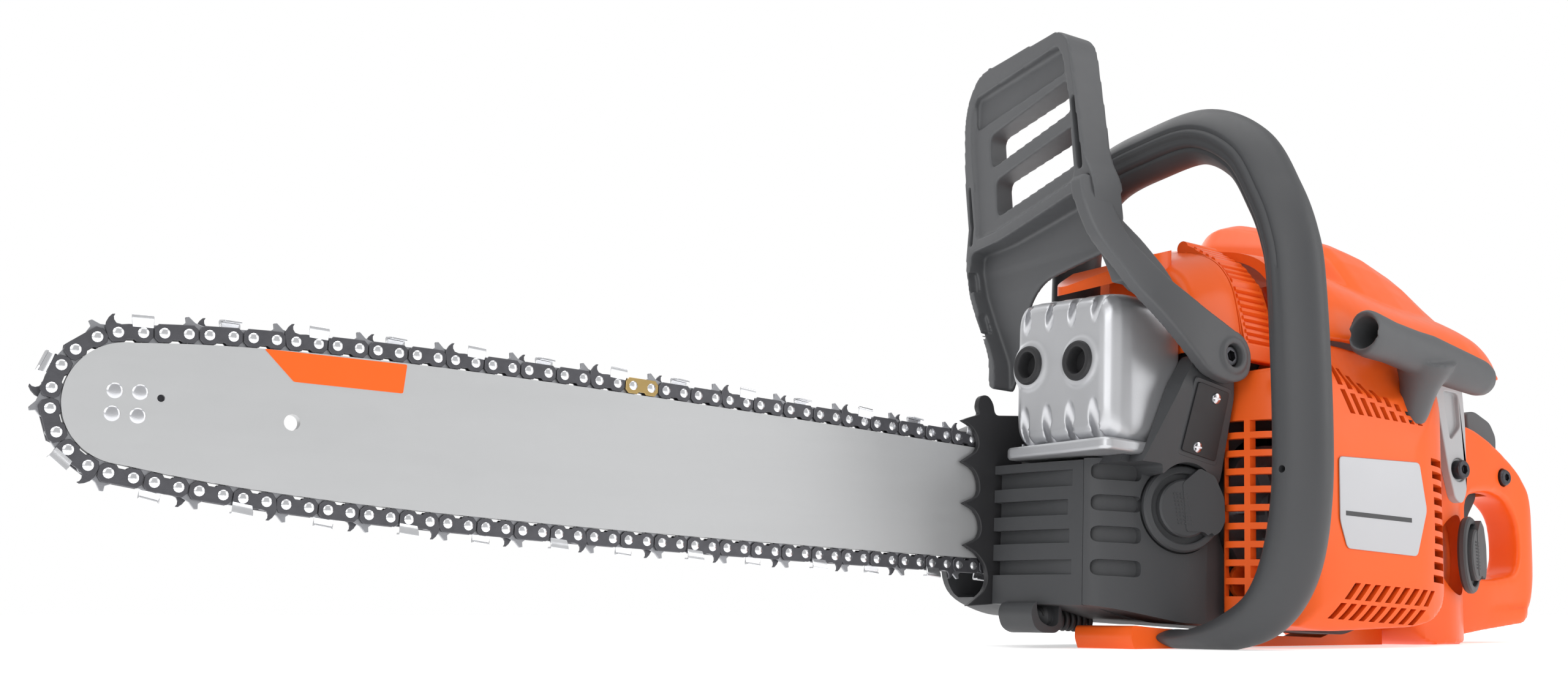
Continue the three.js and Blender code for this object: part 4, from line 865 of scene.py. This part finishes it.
def make_starter_cover():
    outer, inner = cover_solid(0), cover_solid(WALL)
    shell = carve(outer, inner)
    scoop_pad = within(ellipsoid((34, -131, 88), (60, 26, 37)), cover_solid(0.2))
    bosses = [rod_y(x, z, -112, COVER_Y, 8.4) for x, z in COVER_SCREWS]
    shell = unite(shell, scoop_pad, *bosses)
    shell = carve(shell, ellipsoid((34, -133, 88), (57, 22, 34)))
    shell = melt(shell, 1.0, 4)
    slots = []
    for i in range(10):
        z = 41.5 - i * 8.6
        slots.append(prism(rounded([(-60, z), (-60, z - 5.6), (-20, z - 5.6), (-20, z)], 0.1),
                           -98.6, -88))
        slots.append(block(-60, -27, -111.5, -101.4, z - 5.6, z))
    for i in range(10):
        z = 33 - i * 6.4
        bulge = 3.5 * math.sin(math.pi * (i + 0.5) / 10)
        slots.append(block(69 + bulge, 84 + bulge, -135, -99, z - 3.7, z))
    for i in range(9):
        x, top = 2 + 6.3 * i, 73 - 2.7 * i
        middle_z = (top + 48) / 2
        slots.append(slanted(x + 7, 48, middle_z - 1, 3.6, -0.45))
        slots.append(slanted(x + 7 - 0.45 * (middle_z - 47), middle_z + 1, top, 3.6, -0.45))
        low = -8 + 7.2 * i
        slots.append(slanted(low, -50, -42.4, 4, 0.95))
        slots.append(slanted(low + 9.2, -40.6, -32.6, 4, 0.95))
    shell = carve(shell, gather(slots))
    holes = [rod_y(x, z, -135, -93.5, 6.4, sides=40) for x, z in COVER_SCREWS]
    shell = carve(shell, *holes)
    piece(shell, "starter_housing", ORANGE, nodes=["starter_cover"], bevel=0.3, angle=50,
          segments=1)
    for name, (x, z) in zip(("top", "bottom"), COVER_SCREWS):
        head = turned((x, -93.4, z), (x, -120, z), [(5.4, 0), (5.4, 2.4), (4.6, 3.6), (0, 3.8)], 36)
        star = [(x + (2.7 if k % 2 else 1.9) * math.cos(k * math.pi / 6),
                 z + (2.7 if k % 2 else 1.9) * math.sin(k * math.pi / 6)) for k in range(12)]
        piece(carve(head, prism(star, -100, -95)), "housing_screw_" + name, DARK_STEEL,
              nodes=["cover_screw_" + name], bevel=0.3)
    label = rounded([(-2, 26), (57, 29), (62, 6), (54, -17), (3, -17), (-2, -4)], 2.5, 5)
    piece(prism(label, OUTER_Y - 0.7, OUTER_Y - 0.05), "label_face", LABEL, nodes=["label_plate"],
          bevel=0.25)
    piece(prism([(2, 0.6), (50, 1.2), (50, -1.0), (2, -1.6)], OUTER_Y - 0.82, OUTER_Y - 0.7),
          "label_line", HANDLE_GREY)


# ---------------------------------------------------------------- crankcase
def make_crankcase():
    plan = spline([(-111.5, -6, 0), (-109.5, -24, 0), (-107, -40, 0), (-102.8, -59.9, 0)], 6)
    side = rounded([(-118, 18.5), (-118, -48.5), (-96, -49.5), (-74, -54), (60, -54), (84, -44),
                    (84, 22), (60, 44), (36, 46), (-36, 46), (-44, 30), (-60, 19.5)], 3)
    body = within(prism(side, -59.9, -6), prism([(v.x, v.y) for v in plan] + [(84, -59.9), (84,
                                                                                            -6)],
                                                -70, 60, "xy"))
    grooves = []
    for top, low, end in ((14.4, 6.6, -54), (0.4, -7, -51.5), (-13.6, -20.2, -52.5), (-28, -35,
                                                                                      -54)):
        groove = [(-130, -2), (-107.4, -2), (-103.2, end), (-130, end)]
        grooves.append(prism(rounded(groove, 1.2), low, top, "xy"))
    bores = [rod_y(0, 0, -70, -33, 37, sides=64), rod((0, -53, 0), (0, -53, 60), 24),
             rod_y(0, 0, -40, 2, 9), block(-16, 20, -20, 2, -34, -17)]
    body = carve(body, *grooves, *bores)
    pad = prism(rounded([(-92, 14), (-92, -14), (-30, -14), (-30, 14)], 4), -7, -2.4)
    lug = [block(-71, -43, -15.5, 2, 51, 57.6), block(-71, -43, -15.5, -6.5, 10, 57.6)]
    body = carve(unite(body, pad, *lug), rod_y(-45, 0, -20, 2, 3.9),
                 rod_y(-80, 0, -20, 2, 3.9))
    piece(body, "crankcase_bar_side", DARK, nodes=["crankcase_right"], bevel=0.7, segments=3)

    plan = [(-102.6, -60.1, 0), (-100.4, -64, 0), (-95, -68.4, 0), (-84, -73.6, 0), (-62, -80.6, 0),
            (-45, -83.8, 0)]
    front = [(v.x, v.y) for v in spline(plan, 5)]
    side = rounded([(-106, 19.5), (-106, -48.5), (-90, -50.5), (-60, -55), (50, -55), (84, -44),
                    (97, -20), (97, 40), (84, 60), (60, 78), (-41, 80), (-52, 62), (-76, 24),
                    (-90, 19.5)], 4)
    shell = within(prism(side, -84, -60.1), prism(front + [(98, -84), (98, -60.1)], -70, 90, "xy"))
    # the raised web that carries the guard's pivot and the rating plate
    web = within(prism(rounded([(-95, 14), (-91, 22), (-76, 55), (-66, 70), (-42, 71), (-42, 10)],
                               3),
                       -98, -60.1),
                 prism(rounded([(-60, 4), (-83.6, 4), (-88.5, 13), (-90.5, 22), (-97.2, 52),
                                (-97.2, 90),
                                (-60, 90)], 2), -110, -41.8, "yz"))
    ridge = prism(rounded([(-99, 16), (-93.5, 16), (-70, 62), (-74, 66)], 1.5), -80, -60.1)
    boss = rod_y(*PIVOT, -98, -80, 10.5, sides=40)
    shell = unite(shell, web, ridge, boss)
    pockets = []
    for z in (13.2, -1.4, -16.0, -31.5):
        outline = rounded([(-101, z + 3.8), (-101, z - 3.8), (-80, z - 3.8), (-80, z + 3.8)], 3)
        pocket = prism(outline, -95, -60)
        floor = [(x + 2.2, y + 2.4) for x, y in front]
        pockets.append(carve(pocket, prism(floor + [(98, -60), (-60, -50)], z - 9, z + 9, "xy")))
    cap_hole = turned((0, 4, 0), (0, -14, 0), [(21.2, 0), (21.2, 16)], 64)
    turn_and_move(cap_hole, OIL_CAP, -OIL_TURN)
    cavities = [rod_y(0, 0, -75, -50, 37, sides=64), rod_y(0, 0, -90, -74, 40, sides=64),
                rod((0, -53, 0), (0, -53, 90), 25), block(-33, 33, -76, -50, 44, 100),
                block(-120, -59.8, -86.9, -50, 20.6, 102), block(34, 53, -100, -76, -17, 17),
                block(44, 90, -90, -55, 34, 90), block(-62, 50, -69, -50, 57, 83),
                rod_y(*PIVOT, -100, -82, 3.3)]
    shell = carve(shell, *pockets, cap_hole, *cavities)
    piece(shell, "crankcase_starter_side", DARK, nodes=["crankcase_left"], bevel=0.7, segments=3)

    plate = prism(rounded([(-12, -14), (11, -17), (13, 16), (-8, 19)], 1.5), -1.3, -0.4)
    frame_line = prism(rounded([(-14, -16), (13, -19.4), (15.2, 18), (-9.6, 21.4)], 2.5), -0.5, 0.4)
    heads = []
    for x, z in ((4.6, 12.4), (-2.4, -11.6)):
        head = turned((x, -1.2, z), (x, -9, z), [(2.7, 0), (2.5, 0.7), (1.6, 1.15), (0, 1.25)], 28)
        slot = block(x - 4, x + 4, -9, -1.9, z - 0.35, z + 0.35)
        heads.append(carve(head, slot))
    heads = gather(heads)
    for obj in (plate, frame_line, heads):
        turn_and_move(obj, (-59, -93.6, 38), 12.3, "X")
    piece(plate, "rating_plate_face", PLATE, nodes=["rating_plate"], bevel=0.2)
    piece(frame_line, "rating_plate_seat", DARK, bevel=0.4)
    piece(heads, "rating_plate_screws", STEEL, bevel=0.1)


# ---------------------------------------------------------------- cylinder cover and latches
LID_BASE, LID_TOP_Y, LID_FAR_Y = 85.0, -30.0, 20.0
LID_FRONT = [(-1, 0), (-0.995, 0.14), (-0.965, 0.36), (-0.895, 0.61), (-0.73, 0.82), (-0.44, 0.94),
             (0, 1)]
LID_REAR = [(-1, 0), (-0.97, 0.2), (-0.88, 0.4), (-0.72, 0.58), (-0.5, 0.77), (-0.25, 0.93), (0, 1)]
# x, y of the foot, height of the foot, height of the top, share of the rear section's shape
LID_STATIONS = [(-66, -95, 71.6, 117, 0), (-62, -95.5, 71.6, 124, 0), (-50, -96.5, 71.6, 130, 0),
                (-38, -97.5, 71.6, 134, 0), (-27, -101, 81, 137, 0), (5, -114, LID_BASE, 139, 0.25),
                (33, -118, LID_BASE, 140, 0.6), (80, -116, LID_BASE, 138, 1),
                (130, -113, LID_BASE, 134, 1), (156, -102, LID_BASE, 128, 1)]
# x, height of the ridge, height of the shoulder on the starter side
DOME_STATIONS = [(58, 146, 136), (64, 166, 149), (72, 178, 152.5), (84, 182, 152), (100, 180, 150),
                 (122, 169, 143.5), (140, 154, 133), (150, 142, 124), (156, 128, 114)]
LATCH_X = (-36.0, -14.0)
LATCH_PIN = (-58, 133.5)  # y and z
LATCH_LINE = [(-60.8, 131.2), (-76.6, 121.4), (-87, 109), (-92.2, 94), (-95.6, 80), (-96.4, 70.5)]


def lid_ring(station, by):
    x, foot, low, high, share = station
    near = []
    for (u, t), (ru, rt) in zip(LID_FRONT, LID_REAR):
        across, up = u + (ru - u) * share, t + (rt - t) * share
        near.append((LID_TOP_Y + (LID_TOP_Y - foot - by) * across, low - by + (high - low) * up))
    near = [tuple(v) for v in spline(near, 4)]
    far = rounded([near[-1], (LID_FAR_Y - by, high - 1 - by), (LID_FAR_Y - by, low - by)], 14, 5)
    return [(x, y, z) for y, z in near + far[6:] + [(LID_FAR_Y - by, low - by - 1)]]


def lid_hull(by):
    hull = skin([lid_ring(station, by) for station in spline(LID_STATIONS, 4)])
    return carve(hull, block(-90, -36 + by, -36 - by, 60, 0, 200))


def dome(by):
    rings = []
    for x, ridge, shoulder in DOME_STATIONS:
        rise, back = shoulder - LID_BASE, ridge - shoulder
        top = [(-104 + by, LID_BASE), (-100 + by, LID_BASE + 0.2 * rise), (-84 + by,
                                                                           LID_BASE + 0.55 * rise),
               (-60 + by, shoulder - by), (-30, shoulder + 0.45 * back - by),
               (0, shoulder + 0.85 * back - by), (18, ridge - by), (31, ridge - 6 - by),
               (40 - by, LID_BASE + 0.66 * (ridge - LID_BASE)), (40 - by, LID_BASE)]
        x = min(max(x, 58 + by), 156 - by)
        rings.append([(x, y, z) for y, z in spline(top, 3)])
    return skin(rings)


def make_lid():
    hull = unite(lid_hull(0), dome(0))
    hull = melt(hull, 1.3, 6)
    inner = within(lid_hull(WALL + 1), block(-62.7, 152.7, -130, 40, 55, 150))
    lower = dome(WALL + 1)
    turn_and_move(lower, (0, 0, -1))
    recess = prism([(y + 0.5, z - 0.2) for y, z in LATCH_LINE] + [(-140, 66), (-140, 140), (-64,
                                                                                            140)],
                   LATCH_X[0] - 0.6, LATCH_X[1] + 0.6, "yz")
    front_cut = block(-70, -40, -72, -34, 50, 90)
    pivot_room = rod_y(*PIVOT, -120, -78, 13.6, sides=48)
    seam = gather([block(-37.6, -37.0, -120, -36.2, 60, 140)])
    pin_room = rod((-37, *LATCH_PIN), (-13, *LATCH_PIN), 3.9, sides=24)
    hull = carve(hull, inner, lower, recess, front_cut, pivot_room, pin_room)
    hull = carve(hull, carve(seam, lid_hull(0.9)))
    piece(hull, "top_cover", ORANGE, nodes=["cylinder_cover"], bevel=0.35, angle=45, segments=2)
    lip = prism(rounded([(-92, 104.5), (-92, 108), (-74, 120.5), (-58, 126), (-57, 117)], 1), -74,
                -19)
    trim = prism(rounded([(-57, -19), (-57, -74), (-72, -74), (-80, -60), (-91, -30), (-86, -19)],
                         6),
                 100, 140, "xy")
    piece(within(lip, trim), "top_cover_lip", ORANGE, bevel=0.7, segments=3)


def make_latches():
    outer = []
    for i in range(len(LATCH_LINE) - 1):
        (y0, z0), (y1, z1) = LATCH_LINE[i], LATCH_LINE[i + 1]
        length = math.hypot(y1 - y0, z1 - z0)
        ny, nz = (z1 - z0) / length, -(y1 - y0) / length
        for k in range(4):
            for t, out in ((0.12, 2.4), (0.34, 2.4), (0.5, 4.0), (0.9, 4.0)):
                u = (k + t) / 4
                outer.append((y0 + (y1 - y0) * u + ny * out, z0 + (z1 - z0) * u + nz * out))
    lever = prism(LATCH_LINE + outer[::-1], LATCH_X[0] + 1.5, LATCH_X[1] - 1.5, "yz")
    edge = [(y0 + dy, z0 + dz) for (y0, z0), (dy, dz) in zip(LATCH_LINE, (
        (-1.6, 2.6), (-2, 2.4), (-2.6, 1.6), (-3, 1.0), (-3.2, 0.4), (-3.3, 0)))]
    rails = [prism(LATCH_LINE + edge[::-1], x, x + 2.2, "yz") for x in (LATCH_X[0],
                                                                        LATCH_X[1] - 2.2)]
    pin = rod((LATCH_X[0], *LATCH_PIN), (LATCH_X[1], *LATCH_PIN), 3.6)
    hook = prism(rounded([(-56, 137), (-57, 131), (-62, 130.4), (-67, 127), (-67, 131.5)], 1),
                 *LATCH_X, "yz")
    foot = prism(rounded([(-95.8, 79), (-100.2, 79.6), (-101, 70.6), (-96.2, 70.6)], 1.2), *LATCH_X,
                 "yz")
    latch = unite(lever, pin, hook, foot, *rails)
    piece(latch, "side_latch_lever", ORANGE, "side_latch", ["latch_left"], bevel=0.45)
    plate = unite(prism(rounded([(-13, -34), (13, -34), (13, 2), (-13, 2)], 3), 22, 25.6),
                  rod((-13, 24, 0), (13, 24, 0), 3.4))
    grip = [block(-9, 9, 25, 26.4, z, z + 2) for z in (-30, -26, -22, -18, -14)]
    plate = unite(plate, *grip)
    turn_and_move(plate, (0, 0, 118))
    piece(plate, "clutch_side_latch_lever", ORANGE, "clutch_side_latch", ["latch_right"], bevel=0.4)
    back = unite(prism(rounded([(-55, 76), (-29, 76), (-29, 118), (-55, 118)], 3), 158.3, 161.9,
                       "yz"),
                 rod_y(160.3, 116, -55, -29, 3.4))
    ribs = [block(161, 163.2, -51, -33, z, z + 2) for z in (80, 84, 88, 92, 96)]
    piece(unite(back, *ribs), "back_latch_lever", ORANGE, "back_latch", ["latch_rear"], bevel=0.4)


# ---------------------------------------------------------------- tank and rear handle
HANDLE_OUTER = [(150, 60), (174, 66), (192, 70), (216, 62), (239, 51.5), (253, 39), (260, 26),
                (261.5, 5), (259, -12), (250, -32), (238, -39), (200, -45), (178, -49), (150, -52)]
HANDLE_LOOP = [(187, 29), (209, 33.5), (227, 31), (238, 20), (240, 0), (236, -12), (208, -17),
               (187, -16)]
BOOT_SIDE = [(160, -50), (160, -38), (240, -31), (251, -29), (250, -33), (238, -39.4), (200, -45.4),
             (178, -49.4)]
BOOT_PLAN = [(160, -59), (244, -58), (254, -48), (254, -20), (240, -8), (160, -6)]


def make_tank():
    side = rounded([(104, 60), (104, -48), (118, -57), (168, -53), (184, -38), (184, 30), (168, 52),
                    (152, 62)], 9, 6)
    plan = rounded([(104, -84), (142, -84), (162, -74), (179, -56), (184, -46), (184, -22), (168,
                                                                                             2),
                    (104, 8)], 10, 6)
    tank = within(prism(side, -84, 8), prism(plan, -60, 64, "xy"))
    loop_plan = rounded([(140, -60), (206, -58.5), (236, -55.5), (252, -55), (261.5, -50), (261.5,
                                                                                            -41),
                         (252, -35.5), (236, -34.5), (206, -28), (140, -26)], 6, 6)
    handle = within(prism(rounded(HANDLE_OUTER, 9, 6), -62, -22), prism(loop_plan, -60, 80, "xy"))
    handle = melt(carve(handle, prism(rounded(HANDLE_LOOP, 8, 6), -80, 0)), 1.2, 18)
    plate = within(prism(BOOT_SIDE, -60, -6), prism(rounded(BOOT_PLAN, 7, 5), -60, 0, "xy"))
    base = block(126, 162, -70, -12, -60, -50)
    tank = melt(unite(tank, handle, plate, base), 1.2, 4)
    cap_room = rod_y(0, 0, 14, -14, 21.4, sides=64)
    turn_and_move(cap_room, FUEL_CAP, -FUEL_TURN)
    rooms = [cap_room, block(186, 219, -50, -36, 12, 46),
             prism([(201, 61), (201, 90), (234, 90), (234, 49)], -50, -36),
             rod_y(225, 43, -80, -54.6, 5.4)]
    tank = carve(tank, *rooms, ground_block())
    piece(tank, "tank_and_rear_handle", ORANGE, nodes=["fuel_tank_handle"], bevel=0.4, angle=50,
          segments=2)
    strip = prism([(-70, -70), (-70, -58), (-20, -57.8), (60, -56.2), (86, -47), (108, -47),
                   (108, -62)], -62, -36)
    foot = prism(rounded([(-86, -57.5), (-87, -63), (-84, -70), (-40, -70), (-40, -57.9), (-70,
                                                                                           -57.9)],
                         2), -76, -38)
    piece(carve(unite(strip, foot), ground_block()), "tank_runner", ORANGE, bevel=0.8, segments=3)
    head = turned((225, -55, 43), (225, -70, 43), [(4.7, 0), (4.7, 3.2), (3.8, 4.4), (0, 4.6)], 36)
    piece(carve(head, rod_y(225, 43, -80, -57.4, 2.2, sides=6)), "handle_screw_head",
          DARK_STEEL, nodes=["handle_screw"], bevel=0.25)


# ---------------------------------------------------------------- controls, bracket, clutch cover
def make_controls():
    trigger = prism(rounded([(191, 40), (191, 18), (199, 0), (205, 2), (204, 18), (213, 30), (213,
                                                                                              38),
                             (202, 43)], 4, 6), -48, -38)
    piece(trigger, "trigger_lever", BLACK, "trigger", ["throttle_trigger"], bevel=2.2, segments=4)
    lever = prism(rounded([(204.5, 68), (203.5, 79.5), (212, 81), (226, 76), (231.5, 68), (231, 57),
                           (220, 61)], 3, 5),
                  -49, -37)
    piece(lever, "lockout_lever", GREY, "lockout", ["throttle_lockout"], bevel=1.6, segments=4)
    knob = unite(block(158, 172, -12, -4, 66, 80), rod((165, -8, 60.5), (165, -8, 70), 3),
                 *[block(156.8, 173.2, -12.6, -3.4, z, z + 1.6) for z in (69, 72.4, 75.8)])
    piece(knob, "choke_knob", BLACK, "choke", ["choke_control"], bevel=0.6)
    bracket = carve(prism(rounded([(110, 80), (134, 80), (136, 60), (136, 24), (132, 17), (126, 19),
                                   (121, 34)], 4, 5), -96, -91),
                    prism(rounded([(118, 76), (130, 76), (131.5, 58), (123, 50)], 2.5), -99, -93.4),
                    rod_y(129.5, 35, -120, -94.5, 6.2))
    piece(bracket, "rear_strap", PALE, nodes=["rear_bracket"], bevel=0.8, segments=3)
    bolt = turned((129.5, -94.4, 35), (129.5, -110, 35), [(5, 0), (5, 4.2), (4.4, 5), (0, 5.1)], 36)
    piece(carve(bolt, rod_y(129.5, 35, -120, -97, 2.6, sides=6)), "rear_strap_bolt",
          DARK_STEEL, nodes=["bracket_bolt"], bevel=0.3)


def make_clutch_cover():
    side = rounded([(-100, 40), (-104, 0), (-98, -42), (-76, -52), (34, -52), (60, -38), (64, 20),
                    (44, 52), (-30, 56), (-80, 50)], 12, 6)
    inner = rounded([(-120, 36), (-120, -38), (-74, -48), (32, -48), (56, -36), (60, 18), (42, 48),
                     (-30, 50), (-78, 44)], 9, 5)
    face = rounded([(2.6, -60), (40, -60), (50, -44), (50, 46), (38, 60), (2.6, 60)], 5, 5)
    face_inner = [(2, -60), (37, -60), (46, -42), (46, 44), (35, 60), (2, 60)]
    shell = carve(within(prism(side, 2.6, 50), prism(face, -110, 70, "yz")),
                  within(prism(inner, 2, 46), prism(face_inner, -130, 62, "yz")))
    posts = [carve(rod_y(x, 0, 2.7, 48, 9), rod_y(0, 0, 0, 60, 36)) for x in (-80, -45)]
    slots = [prism(rounded([(-22, z - 3), (30, z - 3), (30, z + 3), (-22, z + 3)], 2.8), 40, 60)
             for z in (-24, -8, 8, 24)]
    slots += [rod_y(x, 0, 47.4, 60, 11, sides=48) for x in (-80, -45)]
    shell = carve(unite(shell, *posts), *slots,
                  *[rod_y(x, 0, 0, 60, 4, sides=24) for x in (-80, -45)])
    piece(shell, "clutch_side_cover", DARK, nodes=["clutch_cover"], bevel=0.8, segments=3)


make_camera()
make_studio()
dress_cad()
make_bar()
make_chain()
make_front_handle()
make_grip()
make_cap("oil_filler_cap_face", "oil_cap", "oil_filler_cap", OIL_CAP, OIL_TURN)
make_cap("fuel_filler_cap_face", "fuel_cap", "fuel_filler_cap", FUEL_CAP, FUEL_TURN)
make_muffler()
make_spikes()
make_front_spring()
make_guard()
make_starter_cover()
make_crankcase()
make_lid()
make_latches()
make_tank()
make_controls()
make_clutch_cover()
